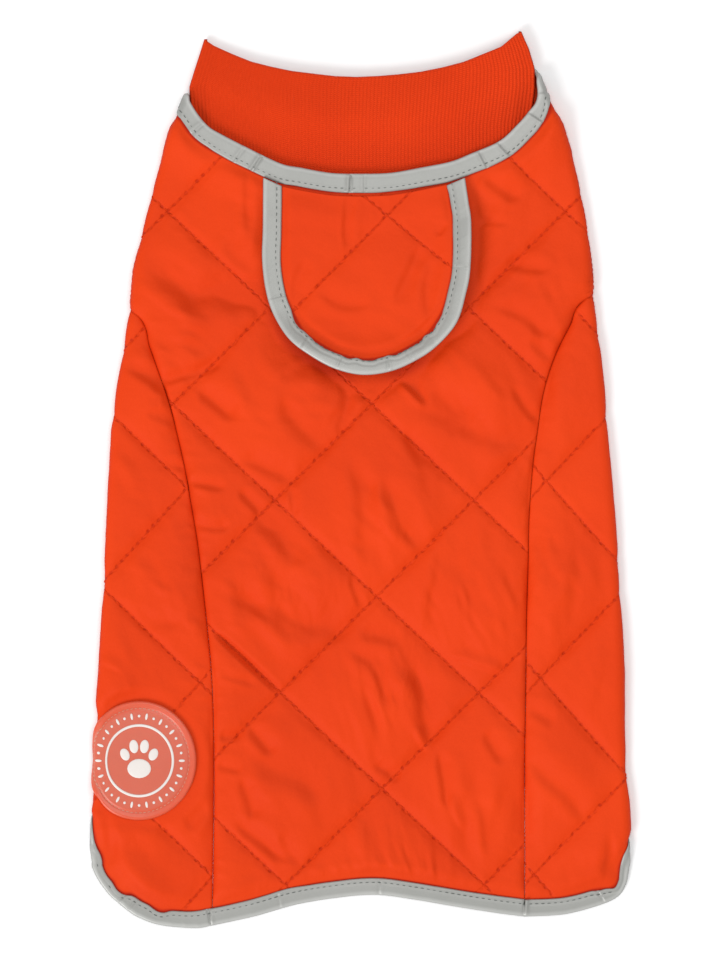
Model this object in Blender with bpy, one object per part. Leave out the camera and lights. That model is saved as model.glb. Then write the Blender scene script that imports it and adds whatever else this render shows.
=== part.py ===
"""Quilted dog winter coat with a rib-knit collar, lying flat with its back upwards.

The coat is one cloth tube. Its pieces are drawn on a map of that tube: v runs along the coat
towards the collar, and u runs across it. On top u is the plain x. Past a side fold the map goes on
round the fold to the underside, where x = 2 * fold - u. Sizes are in millimetres until the meshes
are made, and the origin is under the middle of the coat, on the surface that it lies on.
"""

import math

import bpy
import numpy as np
from mathutils import Vector
from mathutils.geometry import delaunay_2d_cdt

MM = 0.001

# Walls, from the surface upwards
UNDER_WALL = 3.0  # padded wall underneath
HOLLOW = 0.8  # between the underside and the back
VALLEY = 2.0  # back wall at a quilting seam
PUFF = 3.0  # what the padding adds between the seams
GROOVE = 1.0  # depth of the quilting seams underneath
EDGE_WALL = 1.2  # wall pressed flat inside a binding
SEAM_GAP = 0.25  # what each piece keeps clear of a seam line
FOLD_REACH = 3.4  # wall thickness at a side fold
FOLD_RADIUS = 2.0  # half width of the hollow's rounded side

# Binding tape
TAPE = 0.6
TAPE_GAP = 0.3
TAPE_WIDTH = 10.0
TAPE_LIP = 1.5  # what is turned in behind the edge
LEG_TAPE_WIDTH = 8.0
TAPE_LIFT = TAPE + TAPE_GAP
TAPE_STEPS = 5  # points across the tape
FOLD_EASE = 0.25  # what a tape stands off the cloth by where it goes round a side fold
PRESSED = 11.5  # how far from a bound edge the wall stays pressed flat
PRESSED_FADE = 10.0

# Collar
COLLAR_WALL = 1.8
COLLAR_RIB = 0.5
COLLAR_HOLLOW = 0.4
RIBS_PER_SIDE = 95
COLLAR_ROWS = (0.0, 0.45, 1.0)

NECK_RISE = 4.7  # what the collar inside lifts the back wall by
NECK_RISE_NEAR, NECK_RISE_FAR = 8.0, 34.0
DRAPE = 60.0  # length over which the back wall comes down where nothing lies under it
DRAPE_START = 6.0  # how far past the edge underneath it starts to come down
FOLD_STEPS = (-1.0, -0.6, -0.2, 0.2, 0.6, 1.0)
STATION = 14.0  # spacing of the points along an edge
BEND_STEP = 0.33  # how far round a fold from one point to the next, of 2 in all
FLAT_STEP = 600.0  # the same along a tape's width where it lies flat
TAPE_BESIDE = 13.5  # how far in from a bound edge the points beside its tape lie
TAPE_NEAR_FOLD = 14.0  # how close to a side fold points are needed under a tape
CLEAR_OF_EDGE = 16.0  # what the quilting's points keep clear of a bound edge
CLEAR_NEAR_FOLD = 12.0  # the same for the points along a side fold
FOLD_SPACING, LINING_SPACING = 12.0, 18.0  # points along a side fold, outside and inside
DRAPE_ROWS = (1.0, 10.0, 24.0, 44.0)  # how far past the edge underneath the inside has points
DRAPE_SPACING = 14.0
FINE_CELL, PLAIN_CELL = (0.0, 0.1, 0.3, 0.7, 0.9), (0.0, 0.5)  # points across a quilted diamond
HEM_RISE_FAR, HEM_RISE = 24.0, 12.0  # where the back wall makes room for the hem tape
BEHIND_FADE = 16.0
STRAIGHT_FOLDS = (-185.0, -165.0, 185.0, 205.0)  # v between which the folds keep their full reach

# Side folds: v, then x of the coat's outline at the left and at the right. Behind v = -200 the
# rounded corners lie inside these lines.
FOLDS = (
    (262.0, -96.0, 103.0),
    (236.0, -98.0, 106.0),
    (225.0, -101.0, 109.5),
    (213.5, -105.5, 113.0),
    (191.5, -113.0, 122.0),
    (168.0, -120.0, 128.0),
    (145.0, -126.0, 132.5),
    (122.0, -131.5, 135.0),
    (98.5, -133.5, 136.5),
    (75.5, -137.0, 139.5),
    (52.0, -141.0, 142.0),
    (29.0, -144.0, 143.5),
    (-6.0, -145.5, 146.5),
    (-40.5, -147.5, 149.5),
    (-75.5, -149.5, 151.5),
    (-110.0, -151.0, 153.0),
    (-145.0, -154.0, 153.5),
    (-168.0, -154.5, 154.5),
    (-191.5, -155.3, 155.5),
    (-203.0, -156.0, 156.0),
    (-215.0, -157.3, 156.5),
    (-228.0, -158.8, 158.4),
    (-262.0, -160.0, 161.0),
)

# Neck edge of the back, on top: x, v
NECK_TOP = (
    (-100.6, 222.4),
    (-98.4, 218.4),
    (-92.6, 210.5),
    (-87.0, 204.0),
    (-80.5, 198.5),
    (-66.0, 191.0),
    (-46.0, 181.5),
    (-34.0, 179.0),
    (-17.0, 176.0),
    (-1.0, 175.5),
    (17.5, 176.0),
    (35.0, 179.0),
    (52.5, 182.5),
    (64.0, 187.0),
    (81.0, 194.5),
    (92.0, 204.5),
    (98.5, 212.0),
    (102.4, 217.2),
    (103.7, 223.0),
    (103.2, 231.0),
)
# Neck edge underneath: x, v, from the left fold to the right one
NECK_UNDER = (
    (-95.5, 220.5),
    (-88.0, 219.0),
    (-79.5, 215.5),
    (-62.0, 207.5),
    (-35.0, 200.0),
    (0.0, 197.0),
    (35.0, 206.0),
    (64.0, 227.0),
    (77.5, 241.0),
    (87.0, 244.0),
    (95.3, 242.0),
    (102.0, 236.0),
)
CHEST_SEAM = (-62.0, 64.0)  # x where the chest seams meet the neck edge

# Rear edge on top, raw cloth inside the tape: x, v
HEM = (
    (-153.8, -224.3),
    (-150.7, -230.9),
    (-144.8, -239.0),
    (-140.3, -243.2),
    (-133.2, -249.0),
    (-127.5, -252.5),
    (-115.2, -256.8),
    (-95.5, -258.5),
    (-85.5, -257.0),
    (-60.5, -251.5),
    (-37.5, -245.0),
    (-14.0, -241.0),
    (9.0, -239.2),
    (32.0, -242.0),
    (55.5, -246.0),
    (78.5, -249.6),
    (95.5, -251.8),
    (110.5, -251.2),
    (122.0, -249.0),
    (139.0, -244.2),
    (148.5, -239.5),
    (153.3, -233.5),
)
SEAM_AT_HEM = (-85.5, 95.5)
# The same edge where it turns under at a side: v at the left, v at the right, then the distance
# from the fold line on the map, negative underneath
TURN = (
    (-221.0, -228.0, 4.1),
    (-214.0, -222.0, 2.2),
    (-205.5, -215.5, 0.0),
    (-198.0, -210.0, -2.2),
    (-194.0, -205.0, -4.5),
    (-189.0, -199.0, -10.0),
    (-182.0, -191.0, -18.0),
    (-170.0, -178.0, -28.0),
    (-150.0, -157.0, -39.0),
    (-125.0, -130.0, -48.0),
    (-100.0, -103.0, -56.0),
    (-80.0, -81.0, -61.0),
    (-66.0, -66.0, -63.3),
    (-57.0, -57.0, -64.5),
)
BEHIND_TURN = (-200.0, -212.0)  # v behind which the sides come down to the surface
# Rear edge of the belly: x, v
BELLY_END = ((-84.0, -57.0), (-79.0, -50.0), (-70.0, -46.5), (-45.0, -45.0), (0.0, -44.0),
             (45.0, -45.0), (70.0, -46.5), (80.0, -50.0), (86.0, -57.0))
BELLY_END_V = -44.0

# Shaped seams of the back, from the hem to the side fold: x, v
SEAM_LEFT = (
    (-85.5, -257.0), (-85.0, -220.5), (-84.5, -185.5), (-84.5, -151.0), (-85.5, -116.0),
    (-88.0, -87.0), (-91.0, -60.0), (-94.0, -35.0), (-98.0, -11.5), (-101.0, 6.0),
    (-105.5, 26.0), (-110.0, 43.5), (-115.5, 60.0), (-121.5, 77.0), (-127.5, 94.0),
)
SEAM_RIGHT = (
    (95.5, -251.8), (95.8, -214.5), (95.5, -162.5), (96.0, -127.5), (96.5, -81.0),
    (97.5, -46.5), (98.0, -23.0), (99.0, -6.0), (100.5, 11.5), (103.0, 29.0), (105.0, 43.5),
    (107.5, 55.0), (111.0, 66.5), (116.0, 78.5), (122.0, 90.0), (128.5, 103.0),
)

# Leg openings underneath: centre x, v and half sizes, and the angle where the shaped seam ends
LEGS = {
    "left": dict(x=-84.0, v=122.0, across=26.0, along=40.0, seam=14.0),
    "right": dict(x=88.0, v=122.0, across=26.0, along=40.0, seam=6.0),
}

# Quilting: x and v of one crossing, how x drifts along v, half spacing across and along
QUILT = {
    "back": dict(x=3.9, v=155.4, drift=-0.0275, across=57.5, along=55.7),
    "left": dict(x=-99.5, v=-4.5, drift=-0.064, across=54.0, along=56.3),
    "right": dict(x=108.0, v=-0.5, drift=0.03, across=52.0, along=57.0),
    "belly": dict(x=0.0, v=80.0, drift=0.0, across=57.5, along=55.7),
    "flap": dict(x=15.9, v=152.6, drift=-0.116, across=58.9, along=53.4),
}

# Neck flap, from its left end under the neck tape, round to its right end: x, v
FLAP = (
    (-54.5, 173.5), (-54.8, 145.0), (-55.2, 127.5), (-53.2, 110.0), (-48.8, 96.0), (-40.0, 82.0),
    (-28.0, 72.5), (-14.0, 65.0), (1.5, 61.5), (17.5, 63.5), (31.5, 69.5), (43.2, 77.5),
    (54.7, 90.8), (60.0, 107.5), (62.5, 122.0), (63.0, 148.0), (61.5, 160.0), (59.5, 173.5),
)
FLAP_WALL = 1.4
FLAP_PUFF = 1.8
FLAP_TUCK = 1.5  # height of its top end above the back's inner face
FLAP_LIE = 4.5  # the same away from the neck tape
FLAP_RISE = 18.0  # length over which it climbs from one to the other
FLAP_LIFT = 5.0  # what its right and lower edges stand up by
FLAP_PRESS = 0.25  # share of the padding that stays under the flap
FLAP_BELOW_EDGE = 11.5  # its top end, below the neck edge

BADGE = dict(x=-127.3, v=-162.0, radius=34.5, wall=1.2, gap=0.8, step=7.5)
BADGE_BED = 2.6  # back wall under the badge
BADGE_SPREAD, BADGE_LEAN, BADGE_LEAN_FROM = 0.955, 0.0125, 14.0  # how it lies over the side
BADGE_SINK = 2.0  # what the wall gives way by where the badge goes underneath

# Collar sides: v, then x at the left and at the right
COLLAR_SIDES = (
    (259.5, -88.6, 93.5),
    (254.5, -90.3, 95.5),
    (249.5, -91.8, 97.8),
    (238.0, -95.3, 101.2),
    (227.0, -98.6, 101.5),
    (221.0, -98.2, 100.8),
    (205.0, -97.0, 98.5),
)
# Collar's top edge: x, v
COLLAR_TOP = (
    (-90.3, 255.4), (-84.0, 251.6), (-72.0, 246.5), (-60.5, 242.0), (-49.0, 239.0),
    (-37.5, 236.5), (-26.0, 235.0), (-14.0, 233.5), (-2.5, 233.0), (9.0, 233.5), (20.5, 234.5),
    (32.0, 236.0), (44.0, 238.5), (55.5, 241.5), (67.0, 246.0), (78.5, 250.5), (90.0, 258.0),
    (93.5, 259.5),
)
COLLAR_BED_PAST, COLLAR_BED_FADE = 8.0, 30.0  # how it comes down past the neck edge underneath
COLLAR_TUCK = 8.0  # how far it reaches inside the neck edge
COLLAR_TUCK_SIDE = (207.0, 206.0)  # v of its lower end at the left and right side

COLOURS = {  # linear RGB, roughness
    "shell": ((0.83, 0.055, 0.010), 0.55),
    "knit": ((0.75, 0.045, 0.012), 0.85),
    "tape": ((0.45, 0.46, 0.43), 0.45),
    "rubber": ((0.72, 0.17, 0.09), 0.4),
}


def smooth(t):
    """0 below 0, 1 above 1, and a soft S between."""
    t = np.clip(t, 0.0, 1.0)
    return t * t * (3.0 - 2.0 * t)


def spline(rows, per_span=12):
    """Points of a Catmull-Rom curve through the rows."""
    rows = np.array(rows, float)
    padded = np.vstack([2 * rows[0] - rows[1], rows, 2 * rows[-1] - rows[-2]])
    t = np.linspace(0, 1, per_span, endpoint=False)[:, None]
    spans = []
    for before, start, end, after in zip(padded, padded[1:], padded[2:], padded[3:]):
        slope_0, slope_1 = (end - before) / 2, (after - start) / 2
        spans.append(
            (2 * t**3 - 3 * t**2 + 1) * start + (t**3 - 2 * t**2 + t) * slope_0
            + (3 * t**2 - 2 * t**3) * end + (t**3 - t**2) * slope_1
        )
    return np.vstack(spans + [rows[-1:]])


FOLD_ROWS = np.array(FOLDS)[::-1]


def fold_of(side, v):
    """x of a side's fold line."""
    return np.interp(v, FOLD_ROWS[:, 0], FOLD_ROWS[:, 1 if side == "left" else 2])


def under(x, v):
    """Map u of the point x, v underneath."""
    x = np.asarray(x, float)
    return 2 * np.where(x < 0, fold_of("left", v), fold_of("right", v)) - x


def distance(points, line):
    """Distance from each point to a polyline."""
    a, b = line[:-1], line[1:]
    along = b - a
    gap = points[:, None, :] - a[None]
    t = np.clip((gap * along).sum(-1) / np.maximum((along**2).sum(-1), 1e-9), 0, 1)
    return np.sqrt(((gap - t[..., None] * along) ** 2).sum(-1).min(1))


def leg_arc(side, start, end, count=40):
    """Part of a leg opening's edge, as x and v. Angle 0 is its outer side and 90 its front."""
    leg = LEGS[side]
    outward = -1 if side == "left" else 1
    angle = np.radians(np.linspace(start, end, count))
    return np.column_stack([
        leg["x"] + outward * leg["across"] * np.cos(angle),
        leg["v"] + leg["along"] * np.sin(angle),
    ])


def on_map(line):
    """A line underneath, x and v, taken to the map."""
    return np.column_stack([under(line[:, 0], line[:, 1]), line[:, 1]])


def turned_edge(side, column):
    """The rear edge on the map where it turns under, from the top to the belly."""
    rows = np.array(TURN)
    v = rows[:, column]
    outward = -1 if side == "left" else 1
    return np.column_stack([fold_of(side, v) - outward * rows[:, 2], v])


def between(rows, low, high):
    """The rows whose first value lies from low to high."""
    return np.array([row for row in rows if low <= row[0] <= high], float)


def shaped_seam(side, rows, leg_end):
    """A shaped seam on the map, from the hem round the side fold to the leg opening."""
    x, v = leg_end
    return spline(np.vstack([rows, [under(x, v), v]]))


def edges():
    """Every edge and seam line on the map. Belly lines stay as x and v."""
    lines = {}
    shoulders = (between(NECK_UNDER, -200, CHEST_SEAM[0]), between(NECK_UNDER, CHEST_SEAM[1], 200))
    lines["neck_back"] = spline(
        np.vstack([on_map(shoulders[0])[::-1], NECK_TOP, on_map(shoulders[1])[::-1]])
    )
    lines["neck_belly"] = spline(between(NECK_UNDER, *CHEST_SEAM))
    lines["hem_back"] = spline(between(HEM, *SEAM_AT_HEM))
    lines["hem_left"] = spline(
        np.vstack([turned_edge("left", 0)[::-1], between(HEM, -200, SEAM_AT_HEM[0])])
    )
    lines["hem_right"] = spline(
        np.vstack([between(HEM, SEAM_AT_HEM[1], 200), turned_edge("right", 1)])
    )
    lines["belly_end"] = spline(BELLY_END)
    for side, seam in (("left", SEAM_LEFT), ("right", SEAM_RIGHT)):
        angle = -LEGS[side]["seam"]
        lines["leg_back_" + side] = leg_arc(side, angle, 90)
        lines["leg_side_" + side] = leg_arc(side, -90, angle)
        lines["leg_belly_" + side] = leg_arc(side, 90, 270, 80)
        lines["seam_" + side] = shaped_seam(side, seam, lines["leg_back_" + side][0])
        neck = lines["neck_belly"][0 if side == "left" else -1]
        lines["chest_" + side] = np.linspace(lines["leg_back_" + side][-1], neck, 20)
        rear = lines["belly_end"][0 if side == "left" else -1]
        lines["belly_" + side] = np.linspace(lines["leg_side_" + side][0], rear, 40)
    return lines


LINES = edges()


def half(line, side):
    """The part of a line underneath that lies on one side of the middle, on the map."""
    keep = line[:, 0] < 0 if side == "left" else line[:, 0] >= 0
    return on_map(line[keep])


BOUND = [LINES[name] for name in ("neck_back", "hem_back", "hem_left", "hem_right")] + [
    half(LINES[name], side)
    for side in ("left", "right")
    for name in ("neck_belly", "belly_end", "leg_back_" + side, "leg_side_" + side,
                 "leg_belly_" + side)
]
SEAMS = [LINES["seam_left"], LINES["seam_right"]]


def nearest(u, v, lines):
    """Distance from map points to the nearest of some lines."""
    points = np.column_stack([np.ravel(u), np.ravel(v)])
    return np.min([distance(points, line) for line in lines], axis=0)


def pressed(u, v):
    """1 where a binding presses the wall flat, 0 in the open."""
    return 1 - smooth((nearest(u, v, BOUND) - PRESSED) / PRESSED_FADE)


def fold_turn(u, v):
    """Side, fold line, hollow's reach from it, and how far round the fold: 1 on top, -1 under."""
    left = u < 0
    fold = np.where(left, fold_of("left", v), fold_of("right", v))
    side = np.where(left, 1.0, -1.0)
    at_end = TAPE_LIFT + EDGE_WALL
    reach = np.interp(v, STRAIGHT_FOLDS, (at_end, FOLD_REACH, FOLD_REACH, at_end))
    away = (u - fold) * side
    turn = np.clip(away / (reach + FOLD_RADIUS), -1, 1)
    return side, fold, reach, away, turn


def top_level(x, v):
    """Height of the back wall's inner face: over the underside, down to the surface behind it."""
    rows = np.array(TURN)
    width = np.interp(v, rows[:, 0], -rows[:, 2])
    inward = np.minimum(x - fold_of("left", v), fold_of("right", v) - x) - np.maximum(width, 0)
    past = np.minimum(inward, BELLY_END_V - v)
    open_below = smooth((past - DRAPE_START) / DRAPE)
    behind = smooth((np.interp(x, (-150, 150), BEHIND_TURN) - v) / BEHIND_FADE)
    lay = (UNDER_WALL + HOLLOW) * (1 - open_below) * (1 - behind)
    hem = nearest(x, v, [LINES[name] for name in ("hem_back", "hem_left", "hem_right")])
    lay = np.maximum(lay, TAPE_LIFT * smooth((HEM_RISE_FAR - hem) / HEM_RISE))
    neck = nearest(x, v, [LINES["neck_back"]])
    return lay + NECK_RISE * smooth((NECK_RISE_FAR - neck) / (NECK_RISE_FAR - NECK_RISE_NEAR))


def place(u, v, out):
    """Points `out` above the inner face, square to it. Round a side fold the inner face is half an
    ellipse between the two walls."""
    side, fold, reach, away, turn = fold_turn(u, v)
    bend = turn * math.pi / 2
    across = np.where(np.abs(turn) < 1, reach + FOLD_RADIUS * (1 - np.cos(bend)), np.abs(away))
    x = fold + side * across
    top = top_level(x, v)
    low = np.minimum(UNDER_WALL - TAPE_LIFT * pressed(under(x, v), v), top - HOLLOW)
    z = (top + low) / 2 + (top - low) / 2 * np.sin(bend)
    return np.column_stack(
        [x - side * out * np.cos(bend), v + 0 * x, z + out * np.sin(bend)]
    )


def puff(u, v, quilt):
    """1 in the middle of a quilted diamond, 0 on its seams."""
    q = QUILT[quilt]
    across = (u - q["x"] - q["drift"] * (v - q["v"])) / q["across"]
    along = (q["v"] - v) / q["along"]
    a, b = (across - along) / 2, (across + along) / 2
    return np.sqrt(np.abs(np.sin(math.pi * a) * np.sin(math.pi * b)))


def flap_rim():
    """The flap's free edge, and the line under the neck tape that closes it."""
    free = spline(FLAP)
    x = np.linspace(free[-1, 0], free[0, 0], 12)
    neck = np.array(NECK_TOP)
    return free, np.column_stack([x, np.interp(x, neck[:, 0], neck[:, 1]) - FLAP_BELOW_EDGE])


def inside(points, rim):
    """Which points lie inside a closed outline."""
    x, y = points[:, :1], points[:, 1:]
    x0, y0 = rim.T
    x1, y1 = np.roll(rim, -1, axis=0).T
    crosses = (y0 > y) != (y1 > y)
    with np.errstate(divide="ignore", invalid="ignore"):
        reach = (x1 - x0) * (y - y0) / (y1 - y0) + x0
    return ((x < reach) & crosses).sum(1) % 2 == 1


def near_flap(u, v):
    """1 under the flap, 0 from 8 mm outside it."""
    free, top = flap_rim()
    rim = np.vstack([free, top[1:-1]])
    points = np.column_stack([u, v])
    gap = distance(points, np.vstack([rim, rim[:1]]))
    return smooth(1 - np.where(inside(points, rim), 0, gap) / 8.0)


def near_badge(u, v):
    """1 under the badge, 0 from 8 mm outside it."""
    return smooth((BADGE["radius"] + 9.0 - np.hypot(u - BADGE["x"], v - BADGE["v"])) / 8.0)


def wall(u, v, quilt):
    """Thickness of the padded wall."""
    flat = pressed(u, v)
    fill = puff(u, v, quilt) * smooth(nearest(u, v, SEAMS) / 14.0) * (1 - flat)
    fill = fill * (1 - (1 - FLAP_PRESS) * near_flap(u, v))
    top = EDGE_WALL + (VALLEY - EDGE_WALL) * (1 - flat) + PUFF * fill
    low = UNDER_WALL - 2 * TAPE_LIFT * flat - GROOVE * (1 - flat) * (1 - smooth(3 * fill))
    badge = near_badge(u, v) * (1 - flat)
    top = top + (BADGE_BED - top) * badge
    low = low - BADGE_SINK * badge
    turn = fold_turn(u, v)[-1]
    return low + (top - low) * (turn + 1) / 2


def beside(line, gap):
    """A line moved to its left by gap, which may differ from point to point."""
    run = np.gradient(line, axis=0)
    run /= np.linalg.norm(run, axis=1)[:, None]
    return line + np.reshape(gap, (-1, 1)) * np.column_stack([-run[:, 1], run[:, 0]])


def stations(line, step=STATION, bend=BEND_STEP):
    """Points along a line, closer together where it, or a tape beside it, goes round a fold."""
    bends = [np.abs(np.diff(fold_turn(*beside(line, gap).T)[-1]))
             for gap in (-TAPE_WIDTH, 0.0, TAPE_WIDTH)]
    length = np.hypot(*np.diff(line, axis=0).T) / step + np.max(bends, axis=0) / bend
    total = np.concatenate([[0], np.cumsum(length)])
    at = np.linspace(0, total[-1], max(2, int(round(total[-1]))) + 1)
    return np.column_stack([np.interp(at, total, line[:, i]) for i in (0, 1)])


POINTS = {name: stations(line) for name, line in LINES.items()}


def lattice(quilt, fractions, low, high):
    """Points in each quilted diamond at the given fractions of its two sides."""
    q = QUILT[quilt]
    cells = np.arange(-8, 9)
    steps = (cells[:, None] + np.array(fractions)[None]).ravel()
    a, b = (grid.ravel() for grid in np.meshgrid(steps, steps))
    v = q["v"] - q["along"] * (b - a)
    u = q["x"] + q["drift"] * (v - q["v"]) + q["across"] * (a + b)
    keep = (u > low) & (u < high) & (np.abs(v) < 270)
    return np.column_stack([u, v])[keep]


def fold_points(side, steps, spacing):
    """Points along a side fold, at some steps round it."""
    v = np.arange(-260, 262, spacing)
    fold, reach = fold_turn(np.full(len(v), -1.0 if side == "left" else 1.0), v)[1:3]
    inward = 1 if side == "left" else -1
    return np.vstack([
        np.column_stack([fold + inward * step * (reach + FOLD_RADIUS), v]) for step in steps
    ])


def away_from_folds(points, spare):
    side, fold, reach, away, turn = fold_turn(points[:, 0], points[:, 1])
    return points[np.abs(away) > reach + FOLD_RADIUS + spare]


UNDER_LINES = {name for name in LINES if name.split("_")[0] in ("leg", "chest", "belly")}
UNDER_LINES.add("neck_belly")


def drawn(name, chart):
    """The stations of a line on the tube's map, or on the belly's, which is -x and v."""
    points = POINTS[name]
    if chart == "belly":
        return points * (-1, 1)
    return on_map(points) if name in UNDER_LINES else points


def to_tube(points, chart):
    """u and v on the tube's map."""
    if chart == "tube":
        return points
    return on_map(points * (-1, 1))


def steps_across(points, chart, width=TAPE_WIDTH):
    """Distances in from an edge, closer together where the tape goes round a side fold."""
    fine = np.linspace(0, width, 21)
    turn = np.array([fold_turn(*to_tube(beside(points, step), chart).T)[-1] for step in fine])
    total = np.cumsum(np.abs(np.diff(turn, axis=0)) / BEND_STEP + width / FLAT_STEP, axis=0)
    total = np.vstack([np.zeros(len(points)), total])
    share = np.linspace(0, 1, TAPE_STEPS)
    return np.array([np.interp(share * run[-1], run, fine) for run in total.T])


def tape_points(lines, chart="tube"):
    """Points beside bound edges, on the panel's side, where a tape's own points lie. Between the
    tape's two edges they are needed only near a side fold."""
    outer = [beside(line, step) for line in lines for step in (TAPE_WIDTH, TAPE_BESIDE)]
    within = np.vstack([beside(line, step) for line in lines
                        for step in steps_across(line, chart).T[1:-1]])
    side, fold, reach, away, turn = fold_turn(*to_tube(within, chart).T)
    return np.vstack(outer + [within[np.abs(away) < TAPE_NEAR_FOLD]])


def drape_points(low, high):
    """Points past the edges underneath, where the back wall comes down."""
    rows = np.array(TURN)[3:]
    found = []
    for past in DRAPE_ROWS:
        for side, column, inward in (("left", 0, 1), ("right", 1, -1)):
            v = np.arange(rows[0, column], BELLY_END_V - past, FOLD_SPACING)
            width = np.interp(v, rows[:, column], -rows[:, 2]) + past
            found.append(np.column_stack([fold_of(side, v) + inward * width, v]))
        x = np.arange(BELLY_END[0][0] + past, BELLY_END[-1][0] - past, DRAPE_SPACING)
        found.append(np.column_stack([x, np.full(len(x), BELLY_END_V - past - 1.0)]))
    found = np.vstack(found)
    return found[(found[:, 0] > low) & (found[:, 0] < high)]


def badge_points():
    """Points under the badge and just outside it."""
    rings = [(radius, turn) for radius in (11.0, 22.0, 31.0) for turn in range(0, 360, 30)]
    rings += [(BADGE["radius"] + out, turn) for out in (1.5, 9.0) for turn in range(0, 360, 15)]
    disc = np.array([(0.0, 0.0)] + [
        (radius * math.cos(math.radians(turn)), radius * math.sin(math.radians(turn)))
        for radius, turn in rings
    ])
    return away_from_folds(disc + (BADGE["x"], BADGE["v"]), 2.0)


def flap_points():
    """Points under the flap's free edge and beside it."""
    edge = stations(spline(FLAP))
    return np.vstack([beside(edge, step) for step in (-8.5, -1.0, 2.0, 10.0)])


def thin_out(fixed, points, gap=2.0):
    """The fixed points, and those of the others that keep a distance to all before them."""
    kept = list(fixed)
    for point in points:
        if np.min(np.linalg.norm(np.array(kept) - point, axis=1)) > gap:
            kept.append(point)
    return np.array(kept)


def fill(rim, points, margin):
    """Triangles over an outline and the points inside it."""
    loop = np.vstack([rim, rim[:1]])
    points = points[inside(points, rim)]
    points = points[distance(points, loop) > margin]
    every = np.vstack([rim, points])
    corners, _, faces, origins, *_ = delaunay_2d_cdt(
        [Vector(p) for p in every], [], [list(range(len(rim)))], 1, 1e-6
    )
    first = [source[0] for source in origins]
    return every, [[first[i] for i in face] for face in faces]


def body(name, vertices, faces, colour):
    """A closed mesh object, its faces turned outwards."""
    mesh = bpy.data.meshes.new(name)
    mesh.from_pydata((np.array(vertices) * MM).tolist(), [], faces)
    part = bpy.data.objects.new(name, mesh)
    COAT.objects.link(part)
    rgb, rough = COLOURS[colour]
    material = bpy.data.materials.new(name)
    material.use_nodes = True
    shader = material.node_tree.nodes["Principled BSDF"]
    shader.inputs["Base Color"].default_value = (*rgb, 1)
    shader.inputs["Roughness"].default_value = rough
    mesh.materials.append(material)
    mesh.shade_smooth()
    mesh.set_sharp_from_angle(angle=math.radians(40))
    return part


def cloth(name, rim, outer, inner, outside, lining, colour="shell", margin=2.5):
    """A padded piece: its outer face, its plain inner face, and the strip that joins their rims."""
    outer, outer_faces = fill(rim, outer, margin)
    inner, inner_faces = fill(rim, inner, margin)
    count = len(rim)
    start = len(outer)
    faces = [list(face) for face in outer_faces]
    faces += [[start + i for i in face[::-1]] for face in inner_faces]
    faces += [[(i + 1) % count, i, start + i, start + (i + 1) % count] for i in range(count)]
    vertices = np.vstack([outside(*outer.T), lining(*inner.T)])
    body(name, vertices, faces, colour)


def panel(name, quilt, rim, bound, folds):
    """One quilted panel of the tube, drawn on the map."""
    low, high = rim[:, 0].min(), rim[:, 0].max()
    tape = tape_points(bound)
    own = {"left": badge_points, "back": flap_points}.get(quilt, lambda: np.empty((0, 2)))()

    def clear(points, gap=CLEAR_OF_EDGE):
        return points[nearest(*points.T, BOUND) > gap]

    def around(steps, spacing):
        points = np.vstack([fold_points(side, steps, spacing) for side in folds])
        return clear(points, CLEAR_NEAR_FOLD)

    diamonds = clear(away_from_folds(lattice(quilt, FINE_CELL, low, high), 3.0))
    plain = clear(away_from_folds(lattice(quilt, PLAIN_CELL, low, high), 3.0))
    drape = clear(away_from_folds(drape_points(low, high), 2.0), CLEAR_NEAR_FOLD)
    outer = thin_out(tape, np.vstack([around(FOLD_STEPS, FOLD_SPACING), own, diamonds]))
    lining = around((-1.0, 0.0, 1.0), LINING_SPACING)
    inner = thin_out(tape, np.vstack([lining, drape, plain]))
    cloth(name, rim, outer, inner,
          lambda u, v: place(u, v, wall(u, v, quilt)), lambda u, v: place(u, v, 0 * u))


def outline(chart, *parts):
    """A closed outline, anticlockwise, with its bound edges, from (name, run, how)."""
    rim, bound = [], []
    for name, run, how in parts:
        line = drawn(name, chart)[::run]
        if how == "bound":
            bound.append(line)
            rim.append(line[1:-1])
        else:
            rim.append(beside(line, SEAM_GAP))
    return np.vstack(rim), bound


def make_panels():
    rim, bound = outline(
        "tube",
        ("hem_back", 1, "bound"), ("seam_right", 1, "seam"), ("leg_back_right", 1, "bound"),
        ("chest_right", 1, "seam"), ("neck_back", -1, "bound"), ("chest_left", -1, "seam"),
        ("leg_back_left", -1, "bound"), ("seam_left", -1, "seam"),
    )
    panel("back_panel", "back", rim, bound, ("left", "right"))
    rim, bound = outline(
        "tube",
        ("hem_right", 1, "bound"), ("belly_right", -1, "seam"), ("leg_side_right", 1, "bound"),
        ("seam_right", -1, "seam"),
    )
    panel("side_panel_right", "right", rim, bound, ("right",))
    rim, bound = outline(
        "tube",
        ("hem_left", 1, "bound"), ("seam_left", 1, "seam"), ("leg_side_left", -1, "bound"),
        ("belly_left", 1, "seam"),
    )
    panel("side_panel_left", "left", rim, bound, ("left",))


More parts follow.
